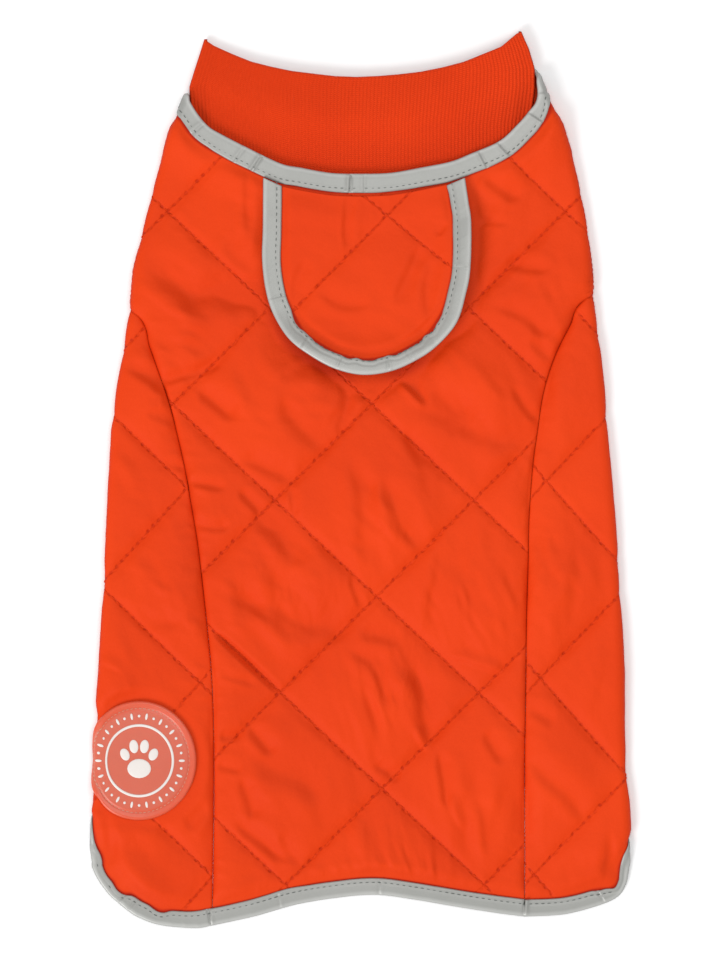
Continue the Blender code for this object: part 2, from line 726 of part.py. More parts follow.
def make_belly():
    rim, bound = outline(
        "belly",
        ("belly_left", -1, "seam"), ("leg_belly_left", -1, "bound"), ("chest_left", 1, "seam"),
        ("neck_belly", 1, "bound"), ("chest_right", -1, "seam"), ("leg_belly_right", 1, "bound"),
        ("belly_right", 1, "seam"), ("belly_end", -1, "bound"),
    )
    tape = tape_points(bound, "belly")
    edge = np.vstack(bound)
    fine = lattice("belly", FINE_CELL, rim[:, 0].min(), rim[:, 0].max())
    plain = lattice("belly", PLAIN_CELL, rim[:, 0].min(), rim[:, 0].max())
    fine = fine[distance(fine, edge) > CLEAR_OF_EDGE]
    plain = plain[distance(plain, edge) > CLEAR_OF_EDGE]

    def outside(u, v):
        tube = to_tube(np.column_stack([u, v]), "belly")
        return place(*tube.T, wall_belly(u, v, tube))

    def lining(u, v):
        return place(*to_tube(np.column_stack([u, v]), "belly").T, 0 * u)

    cloth("belly_panel", rim, thin_out(tape, fine), thin_out(tape, plain), outside, lining)


def wall_belly(u, v, tube):
    """The belly's thickness: full between the quilting seams, so that it rests flat."""
    flat = pressed(*tube.T)
    fill = puff(u, v, "belly") * (1 - flat)
    return UNDER_WALL - 2 * TAPE_LIFT * flat - GROOVE * (1 - flat) * (1 - smooth(3 * fill))


def tape_section(steps):
    """The folded tape across an edge: distances in from the edge, and height above the wall's
    inner face. It lies on the outside and turns in behind the edge."""
    inner, outer = EDGE_WALL + TAPE_GAP, EDGE_WALL + TAPE_LIFT
    turned_in = (
        (-TAPE_LIFT, inner), (-TAPE_LIFT, -TAPE_GAP), (0.0, -TAPE_LIFT), (TAPE_LIP, -TAPE_LIFT),
        (TAPE_LIP, -TAPE_GAP), (-TAPE_GAP, -TAPE_GAP), (-TAPE_GAP, inner),
    )
    every = np.ones(len(steps))
    return (
        [(step, outer) for step in steps.T[::-1]]
        + [(step * every, out) for step, out in turned_in]
        + [(step, inner) for step in steps.T[1:]]
    )


def loft(name, rings, closed, colour):
    """A body through rings of points, each ring a closed section."""
    rows, columns = rings.shape[:2]
    faces = []
    for row in range(rows if closed else rows - 1):
        after = (row + 1) % rows
        for column in range(columns):
            beside_it = (column + 1) % columns
            faces.append([row * columns + column, row * columns + beside_it,
                          after * columns + beside_it, after * columns + column])
    if not closed:
        faces.append(list(range(columns))[::-1])
        faces.append([(rows - 1) * columns + column for column in range(columns)])
    body(name, rings.reshape(-1, 3), faces, colour)


def make_tape(name, width, *parts):
    """A binding round a whole edge, from (name, run, chart) in order."""
    rings = []
    for line, run, chart in parts:
        points = drawn(line, chart)[::run]
        across = []
        for step, out in tape_section(steps_across(points, chart, width)):
            u, v = to_tube(beside(points, step), chart).T
            side, fold, reach, away, turn = fold_turn(u, v)
            ease = FOLD_EASE * smooth((reach + FOLD_RADIUS + 4.0 - np.abs(away)) / 3.0)
            if out > 0:
                ease = ease * smooth((turn + 0.9) / 0.5)
            ease = ease * (step > 0) * (1.0 if out > 0 else -2.0)
            across.append(place(u, v, out + ease)[:-1])
        rings.append(np.stack(across, axis=1))
    loft(name, np.vstack(rings), True, "tape")


def make_tapes():
    make_tape("neck_binding", TAPE_WIDTH, ("neck_back", -1, "tube"), ("neck_belly", 1, "belly"))
    make_tape("hem_binding", TAPE_WIDTH, ("hem_left", 1, "tube"), ("hem_back", 1, "tube"),
              ("hem_right", 1, "tube"), ("belly_end", -1, "belly"))
    make_tape("leg_binding_left", LEG_TAPE_WIDTH, ("leg_back_left", -1, "tube"),
              ("leg_side_left", -1, "tube"), ("leg_belly_left", -1, "belly"))
    make_tape("leg_binding_right", LEG_TAPE_WIDTH, ("leg_back_right", 1, "tube"),
              ("leg_belly_right", 1, "belly"), ("leg_side_right", 1, "tube"))


def flap_distances(u, v):
    """Distance from the flap's tucked end and from its free edge."""
    free, top = flap_rim()
    neck = np.array(NECK_TOP)
    x = np.linspace(-75, 80, 20)
    tucked = np.column_stack([x, np.interp(x, neck[:, 0], neck[:, 1]) - FLAP_BELOW_EDGE])
    points = np.column_stack([u, v])
    return distance(points, tucked), distance(points, free)


def flap_height(u, v):
    """Height of the flap's underside above the back's inner face: tucked low at the neck tape,
    lying on the padding, and standing up a little at its right and lower edges."""
    to_top, to_free = flap_distances(u, v)
    tuck = FLAP_TUCK + TAPE_LIFT * smooth(1 - to_free / 12.0)
    right_or_low = np.maximum(smooth((u - 20.0) / 35.0), smooth((100.0 - v) / 30.0))
    lifted = right_or_low * smooth(1 - to_free / 28.0) * smooth(to_top / 40.0)
    return tuck + (FLAP_LIE - tuck) * smooth(to_top / FLAP_RISE) + FLAP_LIFT * lifted


def flap_wall(u, v):
    flat = 1 - smooth((np.min(flap_distances(u, v), axis=0) - PRESSED) / 8.0)
    padded = FLAP_WALL + FLAP_PUFF * puff(u, v, "flap")
    return EDGE_WALL * flat + padded * (1 - flat)


def make_flap():
    free, top = flap_rim()
    edge = stations(free)
    rim = np.vstack([edge, top[1:-1]])
    tape = tape_points([edge])
    fine = lattice("flap", (0.0, 0.08, 0.25, 0.5, 0.75, 0.92), -60, 70)
    clear = fine[distance(fine, edge) > 16.0]
    points = thin_out(tape, clear)

    def at(height):
        return lambda u, v: place(u, v, height(u, v))

    cloth("neck_flap", rim, points, thin_out(tape, clear[::3]),
          at(lambda u, v: flap_height(u, v) + flap_wall(u, v)), at(flap_height))
    # The tape's two ends are cut along the neck tape
    inward = beside(edge, 1.0) - edge
    inward[0] = (1.0, -0.45)
    inward[-1] = (-1.0, -0.42)
    across = []
    for step, out in tape_section(steps_across(edge, "tube")):
        u, v = (edge + step[:, None] * inward).T
        across.append(place(u, v, flap_height(u, v) + out))
    loft("flap_binding", np.stack(across, axis=1), False, "tape")


def badge_across(off):
    """x of a point of the badge: it leans over the coat's side, so its outer part shows narrower."""
    leaning = BADGE_LEAN * np.maximum(-off - BADGE_LEAN_FROM, 0) ** 2
    return BADGE["x"] + BADGE_SPREAD * off + leaning


def make_badge():
    """A soft round badge on the left side panel that goes round the side fold."""
    angle = np.radians(np.arange(0, 360, BADGE["step"]))
    rim = np.column_stack([badge_across(BADGE["radius"] * np.cos(angle)),
                           BADGE["v"] + BADGE["radius"] * np.sin(angle)])
    dense = stations(np.vstack([rim, rim[:1]]), 5.0, 0.25)[:-1]
    points = thin_out(fold_points("left", FOLD_STEPS, 5.0), badge_points())

    def raised(extra):
        return lambda u, v: place(u, v, wall(u, v, "left") + BADGE["gap"] + extra)

    cloth("badge", dense, points, points, raised(BADGE["wall"]), raised(0.0), "rubber", 1.0)


def collar_rows(under_side, fraction):
    """Points up the collar's cloth at a fraction of its width: x, v, and height of its middle."""
    sides = np.array(COLLAR_SIDES)[::-1]
    neck = np.array(NECK_UNDER if under_side else NECK_TOP)
    top = np.array(COLLAR_TOP)
    width_low = sides[0, 1] + fraction * (sides[0, 2] - sides[0, 1])
    width_high = top[0, 0] + fraction * (top[-1, 0] - top[0, 0])
    tucked = np.interp(width_low, neck[:, 0], neck[:, 1]) - COLLAR_TUCK
    from_side = np.minimum(fraction, 1 - fraction) * (sides[0, 2] - sides[0, 1])
    at_side = np.where(fraction < 0.5, *COLLAR_TUCK_SIDE)
    low = at_side + (tucked - at_side) * smooth(from_side / 12.0)
    high = np.interp(width_high, top[:, 0], top[:, 1])
    v = low[None] + np.array(COLLAR_ROWS)[:, None] * (high - low)[None]
    left, right = (np.interp(v, sides[:, 0], sides[:, column]) for column in (1, 2))
    x = left + fraction * (right - left)
    chest = np.array(NECK_UNDER)
    past = v - np.interp(x, chest[:, 0], chest[:, 1])
    bed = (UNDER_WALL + TAPE_GAP) * (1 - smooth((past - COLLAR_BED_PAST) / COLLAR_BED_FADE))
    return x, v, bed + COLLAR_WALL + COLLAR_HOLLOW / 2, np.minimum(x - left, right - x)


def make_collar():
    """A ribbed tube pressed flat. Its ribs are in the outer points, over a plain inside."""
    outer_half = COLLAR_WALL + COLLAR_HOLLOW / 2
    surfaces = []
    for columns, half_height, rib, start in (
        (2 * RIBS_PER_SIDE, outer_half, COLLAR_RIB, 0.0),
        (RIBS_PER_SIDE // 2 + 1, COLLAR_HOLLOW / 2, 0.0, COLLAR_WALL),
    ):
        fraction = np.linspace(0, 1, columns + 1)
        around = []
        for under_side in (False, True):
            x, v, middle, from_side = collar_rows(under_side, fraction)
            inset = start * np.sign(0.5 - fraction) * (np.abs(2 * fraction - 1) > 0.999)
            depth = np.clip(from_side / outer_half, 0, 1)
            half = (half_height - rib * (np.arange(columns + 1) % 2)) * np.sqrt(
                1 - (1 - depth) ** 2)
            height = middle + (-half if under_side else half)
            points = np.stack([x + inset, v, height], axis=-1)
            around.append(points[:, ::-1][:, 1:] if under_side else points[:, :-1])
        surfaces.append(np.concatenate(around, axis=1))
    outer, inner = surfaces
    rows, many, few = outer.shape[0], outer.shape[1], inner.shape[1]
    start = rows * many
    faces = []
    for row in range(rows - 1):
        for i in range(many):
            j = (i + 1) % many
            faces.append([row * many + i, row * many + j, (row + 1) * many + j,
                          (row + 1) * many + i])
        for i in range(few):
            j = (i + 1) % few
            faces.append([start + row * few + j, start + row * few + i,
                          start + (row + 1) * few + i, start + (row + 1) * few + j])
    for row, turned in ((0, False), (rows - 1, True)):
        faces += zip_rings(row * many, many, start + row * few, few, turned)
    body("collar", np.vstack([outer.reshape(-1, 3), inner.reshape(-1, 3)]), faces, "knit")


def zip_rings(first, many, second, few, turned):
    """Triangles between a ring of many points and one of few, which start side by side."""
    faces, i, j = [], 0, 0
    while i < many or j < few:
        if j >= few or (i < many and (i + 1) / many <= (j + 0.5) / few):
            faces.append([first + (i + 1) % many, first + i, second + j % few])
            i += 1
        else:
            faces.append([first + i % many, second + j % few, second + (j + 1) % few])
            j += 1
    return [face[::-1] for face in faces] if turned else faces


for old in list(bpy.data.objects):
    bpy.data.objects.remove(old)
COAT = bpy.data.collections.new("dog_winter_coat")
bpy.context.scene.collection.children.link(COAT)
make_panels()
make_belly()
make_tapes()
make_flap()
make_badge()
make_collar()
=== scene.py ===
"""Looks of a quilted dog winter coat with a rib-knit collar, lying flat with its back upwards.

Every piece of cloth is a surface drawn on the map of one tube, the same map that the solids use: v
runs along the coat towards the collar and u runs across it. On top u is the plain x. Past a side
fold the map goes on round the fold to the underside, where x = 2 * fold - u. Sizes are in
millimetres until the meshes are made.
"""

import math

import bpy
import numpy as np
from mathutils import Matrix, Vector


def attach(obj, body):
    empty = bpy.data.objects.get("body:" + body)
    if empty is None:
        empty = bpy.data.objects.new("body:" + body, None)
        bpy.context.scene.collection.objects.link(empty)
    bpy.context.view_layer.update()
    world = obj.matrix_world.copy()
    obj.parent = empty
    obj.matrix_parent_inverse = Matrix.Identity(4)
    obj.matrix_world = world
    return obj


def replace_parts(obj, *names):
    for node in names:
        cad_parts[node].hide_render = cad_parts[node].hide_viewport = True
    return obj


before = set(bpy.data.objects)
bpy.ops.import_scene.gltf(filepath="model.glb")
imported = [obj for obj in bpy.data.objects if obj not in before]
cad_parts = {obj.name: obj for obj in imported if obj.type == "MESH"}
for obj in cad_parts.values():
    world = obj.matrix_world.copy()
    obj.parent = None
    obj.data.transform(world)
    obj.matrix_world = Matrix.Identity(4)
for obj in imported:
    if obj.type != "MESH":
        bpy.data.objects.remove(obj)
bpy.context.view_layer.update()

MM = 0.001

# Walls, from the surface upwards
UNDER_WALL = 3.0  # padded wall underneath
HOLLOW = 0.8  # between the underside and the back
VALLEY = 2.0  # back wall at a quilting seam
SHOWN_PUFF = 4.2  # what the padding adds between the seams, where it shows
GROOVE = 1.0  # depth of the quilting seams underneath
EDGE_WALL = 1.2  # wall pressed flat inside a binding
FOLD_REACH = 3.4  # wall thickness at a side fold
FOLD_RADIUS = 2.0  # half width of the hollow's rounded side

# Binding tape
TAPE = 0.6
TAPE_GAP = 0.3
TAPE_WIDTH = 10.0
HEM_TAPE_WIDTH = 8.8
FLAP_TAPE_WIDTH = 9.4
TAPE_LIP = 1.5  # what is turned in behind the edge
LEG_TAPE_WIDTH = 8.0
TAPE_LIFT = TAPE + TAPE_GAP
PRESSED = 11.5  # how far from a bound edge the wall stays pressed flat
PRESSED_FADE = 10.0

# Collar
COLLAR_WALL = 1.8
COLLAR_HOLLOW = 0.4
RIBS_PER_SIDE = 95
NECK_RISE = 4.7  # what the collar inside lifts the back wall by
NECK_RISE_NEAR, NECK_RISE_FAR = 8.0, 34.0
DRAPE = 60.0  # length over which the back wall comes down where nothing lies under it
DRAPE_START = 6.0  # how far past the edge underneath it starts to come down

# Side folds: v, then x of the coat's outline at the left and at the right. Behind v = -200 the
# rounded corners lie inside these lines.
FOLDS = (
    (262, -96, 103), (236, -98, 103.8), (225, -101, 108.4), (213.5, -105.5, 113.4),
    (191.5, -113, 122), (168, -120, 128), (145, -126, 132.5), (122, -131.5, 135),
    (98.5, -133.5, 136.5), (75.5, -137, 139.5), (52, -141, 142), (29, -144, 143.5),
    (-6, -145.5, 146.5), (-40.5, -147.5, 149.5), (-75.5, -149.5, 151.5), (-110, -151, 153),
    (-145, -154, 153.5), (-168, -154.5, 154.5), (-191.5, -155.3, 155.5), (-203, -156, 156),
    (-215, -157.3, 156.5), (-228, -158.8, 158.4), (-262, -160, 161),
)

# Neck edge of the back, on top: x, v
NECK_TOP = (
    (-100.6, 222.2), (-98.6, 217.2), (-93.2, 208.8), (-87.4, 202.6), (-80.5, 198.5), (-66, 191),
    (-46, 181.5), (-34, 179), (-17, 176), (-1, 175.5), (17.5, 176), (35, 179), (52.5, 182.5),
    (64, 187), (81, 194.5), (92, 204.5), (98.5, 212), (102.4, 217.2), (103.7, 223), (103.2, 231),
)
# Neck edge underneath: x, v, from the left fold to the right one
NECK_UNDER = (
    (-95.5, 220.5), (-88, 219), (-79.5, 215.5), (-62, 207.5), (-35, 200), (0, 197), (35, 206),
    (64, 227), (77.5, 241), (87, 244), (95.3, 242), (102, 236),
)
CHEST_SEAM = (-62.0, 64.0)  # x where the chest seams meet the neck edge

# Rear edge on top, raw cloth inside the tape: x, v
HEM = (
    (-153.8, -224.3), (-150.7, -230.9), (-144.8, -239), (-140.3, -243.2), (-133.2, -249),
    (-127.5, -252.5), (-115.2, -256.8), (-95.5, -258.5), (-85.5, -257), (-60.5, -251.5),
    (-37.5, -245), (-14, -241), (9, -239.2), (32, -242), (55.5, -246), (78.5, -249.6),
    (95.5, -251.8), (110.5, -251.2), (122.2, -249.8), (139.4, -245), (149.2, -240.2),
    (153.3, -233.5),
)
SEAM_AT_HEM = (-85.5, 95.5)
# The same edge where it turns under at a side: v at the left, v at the right, then the distance
# from the fold line on the map, negative underneath
TURN = (
    (-221, -228, 4.1), (-214, -222, 2.2), (-206, -215.5, 0), (-198, -210, -2.2), (-194, -205, -4.5),
    (-189, -199, -10), (-182, -191, -18), (-170, -178, -28), (-150, -157, -39), (-125, -130, -48),
    (-100, -103, -56), (-80, -81, -61), (-66, -66, -63.3), (-57, -57, -64.5),
)
BEHIND_TURN = (-200.0, -212.0)  # v behind which the sides come down to the surface
# Rear edge of the belly: x, v
BELLY_END = (
    (-84, -57), (-79, -50), (-70, -46.5), (-45, -45), (0, -44), (45, -45), (70, -46.5), (80, -50),
    (86, -57),
)
BELLY_END_V = -44.0

# Shaped seams of the back, from the hem to the side fold: x, v
SEAM_LEFT = (
    (-85.5, -257), (-85, -220.5), (-84.5, -185.5), (-84.5, -151), (-85.5, -116), (-88, -87),
    (-91, -60), (-94, -35), (-98, -11.5), (-101, 6), (-105.5, 26), (-110, 43.5), (-115.5, 60),
    (-121.5, 77), (-127.5, 94),
)
SEAM_RIGHT = (
    (95.5, -251.8), (95.8, -214.5), (95.5, -162.5), (96, -127.5), (96.5, -81), (97.5, -46.5),
    (98, -23), (99, -6), (100.5, 11.5), (103, 29), (105, 43.5), (107.5, 55), (111, 66.5),
    (116, 78.5), (122, 90), (128.5, 103),
)

# Leg openings underneath: centre x, v and half sizes, and the angle where the shaped seam ends
LEGS = {
    "left": dict(x=-84.0, v=122.0, across=26.0, along=40.0, seam=14.0),
    "right": dict(x=88.0, v=122.0, across=26.0, along=40.0, seam=6.0),
}

# Quilting: x and v of one crossing, how x drifts along v, half spacing across and along
QUILT = {
    "back": dict(x=3.9, v=155.4, drift=-0.0275, across=57.5, along=55.7),
    "left": dict(x=-99.5, v=-4.5, drift=-0.064, across=54.0, along=56.3),
    "right": dict(x=108.0, v=-0.5, drift=0.03, across=52.0, along=57.0),
    "belly": dict(x=0.0, v=80.0, drift=0.0, across=57.5, along=55.7),
    "flap": dict(x=15.9, v=152.6, drift=-0.116, across=58.9, along=53.4),
}

# Neck flap, from its left end under the neck tape, round to its right end: x, v
FLAP = (
    (-54.5, 173.5), (-54.8, 145), (-55.2, 127.5), (-53.2, 110), (-48.8, 96), (-40, 82), (-28, 72.5),
    (-14, 65), (1.5, 61.5), (17.5, 63.5), (31.5, 69.5), (43.2, 77.5), (54.7, 90.8), (60, 107.5),
    (62.5, 122), (63, 148), (61.5, 160), (59.5, 173.5),
)
FLAP_WALL = 1.4
FLAP_PUFF = 1.8
FLAP_TUCK = 1.5  # height of its top end above the back's inner face
FLAP_LIE = 4.5  # the same away from the neck tape
FLAP_RISE = 18.0  # length over which it climbs from one to the other
FLAP_LIFT = 6.5  # what its right and lower edges stand up by
STANDS_RIGHT, STANDS_LOW = (20.0, 35.0), (100.0, 30.0)  # u and v where that starts, and its length
STANDS_IN, STANDS_TOP = 28.0, 40.0  # how far in from the edge, and how far below the neck tape
FLAP_PRESS = 0.25  # share of the padding that stays under the flap
FLAP_BELOW_EDGE = 11.5  # its top end, below the neck edge

BADGE = dict(x=-127.3, v=-162.0, radius=34.5, wall=1.2, gap=0.8, step=7.5)
BADGE_BED = 2.6  # back wall under the badge
BADGE_BED_PAST, BADGE_BED_FADE = 9.0, 8.0  # how far past its rim the wall lies flat for it
BADGE_SPREAD, BADGE_LEAN, BADGE_LEAN_FROM = 0.955, 0.0125, 14.0  # how it lies over the side
BADGE_SINK = 2.0  # what the wall gives way by where the badge goes underneath

# Collar sides: v, then x at the left and at the right
COLLAR_SIDES = (
    (259.5, -88.6, 93.5), (254.5, -90.3, 95.5), (249.5, -91.8, 97.8), (238, -95.3, 101.2),
    (227, -98.6, 101.5), (221, -98.2, 100.8), (205, -97, 98.5),
)
# Collar's top edge: x, v
COLLAR_TOP = (
    (-90.3, 255.4), (-84, 251.6), (-72, 246.5), (-60.5, 242), (-49, 239), (-37.5, 236.5),
    (-26, 235), (-14, 233.5), (-2.5, 233), (9, 233.5), (20.5, 234.5), (32, 236), (44, 238.5),
    (55.5, 241.5), (67, 246), (78.5, 250.5), (90, 258), (93.5, 259.5),
)
COLLAR_BED_PAST, COLLAR_BED_FADE = 8.0, 30.0  # how it comes down past the neck edge underneath
COLLAR_TUCK = 8.0  # how far it reaches in under the neck edge
COLLAR_TUCK_SIDE = (207.0, 206.0)  # v of its lower end at the left and right side


# ---------------------------------------------------------------- finer form of the cloth

FIELD_SIZE, FIELD_STEP = (330.0, 280.0), 2.0  # half size and step of the distance tables
SEAM_CLEAR = 0.12  # what each panel keeps clear of a seam line
BED_EDGE = 9.5  # how far from a bound edge the wall lies flat under the tape
BED_FADE = 9.0
SWELL_FROM, SWELL_OVER = 9.0, 26.0  # how the padding grows to its full height inward of that
PILLOW_POWER = 0.7  # below 1 the pillows are fuller between their seams
SEAM_RISE = 5.0  # length over which the padding rises from a shaped seam
QUILT_SIDE = 80.0  # side of a quilted diamond
SKEW = 0.35  # how far a quilting stitch may lie askew, as a slope
QUILT_STITCH = 4.8  # from one needle hole to the next
HOLE_EDGE, HOLE_PULL = (0.30, 1.05), 1.3  # where a needle hole fades out, and the pull round it
HOLE_STRAY, HOLE_ROUND = 1.2, 0.6  # how far holes lie to one side, and how drawn out they are
GROOVE_DEPTH, GROOVE_WIDTH = 0.9, 2.6  # along the quilting seams
PUCKER_DEPTH, PUCKER_REACH, PUCKER_PITCH = 0.5, 9.0, 6.5  # small folds square to them
SEAM_DIP, SEAM_DIP_WIDTH, SEAM_PUCKER = 1.3, 1.4, 0.9  # the shaped seams' valley and folds
EDGE_PUCKER = 0.35  # small folds close beside the tapes
SEAM_SIDE = (3.2, 8.0)  # the dip's width and the rise on a side panel
FOLD_DEPTH = 2.8  # of the long soft folds
CREASE_DEPTH, CREASE_WIDTH = 1.35, 1.12  # shares of what the rows say
# Soft folds: across, along, depth as a share, turn in radians
SOFT_FOLDS = ((16.0, 58.0, 1.0, 0.0), (8.0, 27.0, 0.5, 0.25), (4.4, 12.0, 0.24, -0.3),
              (2.6, 5.0, 0.09, 0.6))
FOLD_LEAN, FOLD_TURN = 0.75, 0.6  # radians below level, and what is added on the right
FOLD_EVEN, FOLD_EVEN_REACH = 0.7, 9.0  # how far the padding is evened out at a side fold
FOLD_FILL = 0.42  # share of the padding that is left there
STRAIGHT_FOLDS = (-185, -165, 185, 205)  # v where a side fold grows to its full wall, and thins
BEHIND_FADE = 16.0  # length over which the sides come down to the surface at the rear
HEM_RISE_FAR, HEM_RISE = 24.0, 12.0  # where the hem's tape underneath lifts the back wall
BILLOW = 0.16  # share by which the padding swells unevenly
LEAST_WALL = 0.7
LINING_DIP = 0.3

# Creases that show: from u, v to u, v, width, depth (less than 0 stands up), bend
CREASES = (
    (-126, 122, -55, 103, 7, 2.2, -4), (-79, 137, -59, 122, 4.5, 1.2, 0),
    (-63, 180, -64, 139, 2.6, 1, -2), (-117, 57, -90, 63.5, 2.4, 1.3, -0.5),
    (-95, 62, -81, 68, 2.2, 1, -0.5), (-92.5, 54.5, -71, 35, 3.4, 1.5, -1),
    (-137, 65.5, -112, 51, 2.6, 1.3, 0.5), (-123, 38, -107, 31.5, 2.4, 0.7, 0.5),
    (-28, 68, -46, 57, 3, 0.7, 0), (-3.5, 53, -13, 26, 2.6, 0.9, -1),
    (-46, 51, -17, 17, 5.5, 1.3, -2), (-69, 14.5, -39, -2, 4.2, 1.5, 1.5),
    (-113, 10.5, -101, 6.5, 1.8, 0.7, 0), (-99, -1, -77, -4, 2.2, 1.1, 0.5),
    (-97, -27.5, -74, -25.5, 2.2, 1, -0.5), (-69, -5, -56, -20, 2.4, 1.2, 0),
    (-62, -21, -30, -48, 6, 1.9, 1.5), (-76, -57, -9, -93, 8.5, 2.5, -1.5),
    (-40.5, -5, -37, -21, 1.8, 0.7, 0), (-4, -55, 0.5, -74, 1.8, 0.8, -1),
    (-3, 9, 8, -48, 5.5, 1.3, -2), (-129, -83, -99, -79, 4.5, 0.8, 0.5),
    (-150, -103.5, -137, -108.5, 1.8, -0.7, 0.5), (-83, -112, -60, -119, 2, 0.8, 0.5),
    (15, 3, 34, -41, 4.4, 1.6, -2), (25, 29, 39, 8, 4, 1, 0), (21, 63, 39.5, 43, 2.2, 1.8, 0.8),
    (36, 44, 93, 19, 6.5, 1.7, 1.5), (87, 53, 104, 32, 2.2, 0.9, 0.5),
    (70.5, 181, 94, 162, 3.8, 1.6, -3), (65, 149, 86, 147, 1.8, 0.8, 0.4),
    (85, 126, 109, 121.5, 2.8, 1.1, -0.5), (77, 101, 113, 81, 3.2, 1.1, 1.5),
    (97, 81, 112, 69, 2.2, 0.7, 0), (46, -38, 42, -90, 4.4, 1.1, 0),
    (35, -108, 41, -153, 4.6, 1.7, -1.5), (31, -144, 40, -156, 2, -0.8, 0),
    (-4, -96, 17, -134, 4.2, 1.5, 4.5), (1, -86, 23, -96, 4.2, 1, 0),
    (51, -102, 83, -113, 2, -0.9, 3), (8, -166, 23, -174, 2.6, 1.2, 1),
    (45, -157, 52, -190, 2.8, 1.3, 0), (51, -181, 61, -202, 2, -0.7, 0),
    (70, -182, 74.5, -217, 4, 1, 0), (73, -145, 85, -163, 3.2, 1.1, 0),
    (97, -161.5, 131, -197, 4.2, 1.4, 2.5), (97, -132.5, 113, -140.5, 2.6, 1, 0.5),
    (-63, -142, -51, -160, 3.2, 1.5, -0.5), (-66, -172, -60, -197, 3.4, 1.3, -1),
    (-81, -147.5, -69, -149.5, 2.2, 1, 0), (-83, -166, -68, -168.5, 2.2, 0.9, 0),
    (-61, -160, -19, -181, 7.5, 1.6, 2), (-46, -204, -34, -222, 3.2, 0.9, 0),
    (-101, -201, -87, -190, 4.2, 1, 0), (-108, 109, -52, 101, 8, 1.5, -2),
    (26, 66, 66, 36, 5.5, 1.5, 1.5), (-8, 61, -15, 30, 3, 0.9, 1),
    (-87, -85, -42, -127, 1.3, 1.5, 0), (-73, -199, -39, -220, 3, 1.5, -2),
)
FLAP_CREASES = (
    (-5, 166, -8, 133, 1.8, 0.9, -1), (36.5, 135, 21, 102, 3.2, 1, 0),
    (42.5, 127, 39, 93, 3.4, 0.9, 0), (45, 140, 51, 148, 1.8, 0.7, 0),
    (-24, 107, 6, 101, 3.4, 0.8, -1), (8, 163, 13, 148, 2, 0.6, 0), (-33, 128, -37, 100, 3, 0.7, 0),
)

# Tapes
TAPE_SPACING = 0.8  # from one section to the next
TAPE_COLUMNS = 15  # across the outside
TAPE_WAVE = 0.35  # how unevenly wide
TAPE_GROOVE = 0.28  # depth along the topstitching
TOPSTITCH = 3.5  # from one needle hole to the next
TOPSTITCH_IN = 2.6  # from the tape's stitched edge
EDGE_ROUND = 1.35  # how far the folded edge stands out, as a share of what the tape adds
# Folds across a tape: u where it is, depth, lean
NECK_PLEATS = (
    (-90.8, 0.6, 1), (-67.6, 0.5, 2), (-57.7, 1.3, 1.5), (-5.5, 1.4, 0.5), (2, 0.4, 0),
    (68.7, 0.8, -1), (80.3, 0.9, -2), (98.3, 0.8, -1), (107, 0.6, -1),
)
HEM_PLEATS = (
    (-139, 0.5, 2), (-133, 0.4, 1), (-45, 0.4, 1), (12, 0.4, 0), (96, 0.5, 0), (141, 0.5, -2),
)

# Where a tape shows narrower, since the padding swells over it: u, v on its edge, by how much
TAPE_NARROW = (
    (-155.8, -190, 6.8), (-156.5, -202, 6.2), (-156, -211, 6.6), (-154.6, -220, 4.3),
    (-150.5, -230, 4.6), (-142.5, -241, 4.8), (-133.2, -249, 0.8), (-126, -253, 0.5),
    (-118.6, -256, 2.8), (-106, -258.5, 0.4), (156.5, -196, 7.4), (156.6, -205, 7.2),
    (156.8, -214, 6.6), (156.4, -221, 5), (154.5, -230, 5.3), (151, -237.5, 5.4),
    (144.5, -243, 1.8), (133, -248, 0.2), (-101, 221.4, 1.6), (-95, 211, 1.6), (-87.4, 202.6, 0.9),
    (-77, 196, 0), (103, 236, 5.4), (103.4, 229, 5.6), (103.2, 220, 4.4), (99.5, 212.8, 0.8),
    (93, 205, 0), (84, 197, 0),
)
NARROW_REACH = 5.5
STITCHES_SHOW = 4.0  # how much narrower a tape may be before its stitching is covered

# Collar
RIB_COLUMNS = 5
RIB_DEPTH = 0.42
COLLAR_WAVE = 0.25
COLLAR_ARCH = 3.0  # how far its middle stands up past the neck edge
COLLAR_GRID_ROWS = 26
COLLAR_HALF = COLLAR_WALL + COLLAR_HOLLOW / 2
COLLAR_HEIGHT = 60.0
COLLAR_FLAT = (190.0, 62.0)  # its cloth laid flat: half its width and its height

# Flap
FLAP_CORNER = 104.0  # v where its free edge turns from a side to the bottom
FLAP_ENDS = ((1.0, -0.45), (-1.0, -0.42))  # which way its tape's two ends are cut
FLAP_LOW, FLAP_LOW_FADE = 96.0, 14.0  # v below which its tape is narrower and less even
FLAP_WAVE = 1.1
FLAP_NARROW = 1.5
FLAP_DIP = 1.1  # of its cloth beside the tape at the bottom
FLAP_BESIDE = 8.0  # how far outside it the back is still held down
FLAP_HOLLOW, FLAP_HOLLOW_REACH = 4.4, 9.0  # how the back gives way beside it
HOLLOW_BELOW, HOLLOW_RIGHT, HOLLOW_FADE = 128.0, 20.0, 30.0  # v and u where that begins
# the painted shade below the flap: its reach past the flap's overhang, and the v below which it lies
FLAP_SHADE_REACH, FLAP_OVERHANG = 3.6, 3.2
FLAP_SHADE_BELOW = 125.0
# how much shade is painted on the cloth close below the flap, by x
FLAP_SHADE_BY_X = [(-56.0, 0.4), (-42.0, 0.9), (-22.0, 1.3), (-9.0, 0.8), (2.0, 0.0), (12.0, 0.3),
            (22.0, 1.0), (34.0, 0.9), (47.0, 0.15), (60.0, 0.2)]
FLAP_PLEATS = (  # u, v where it is, depth, lean
    (-52, 104, 0.4, 1), (-34, 77, 0.5, -1), (-12, 64.5, 0.5, 1), (17.5, 63.5, 0.6, 1.5),
    (30, 69, 0.4, -1), (62.5, 122, 0.3, 0.5),
)

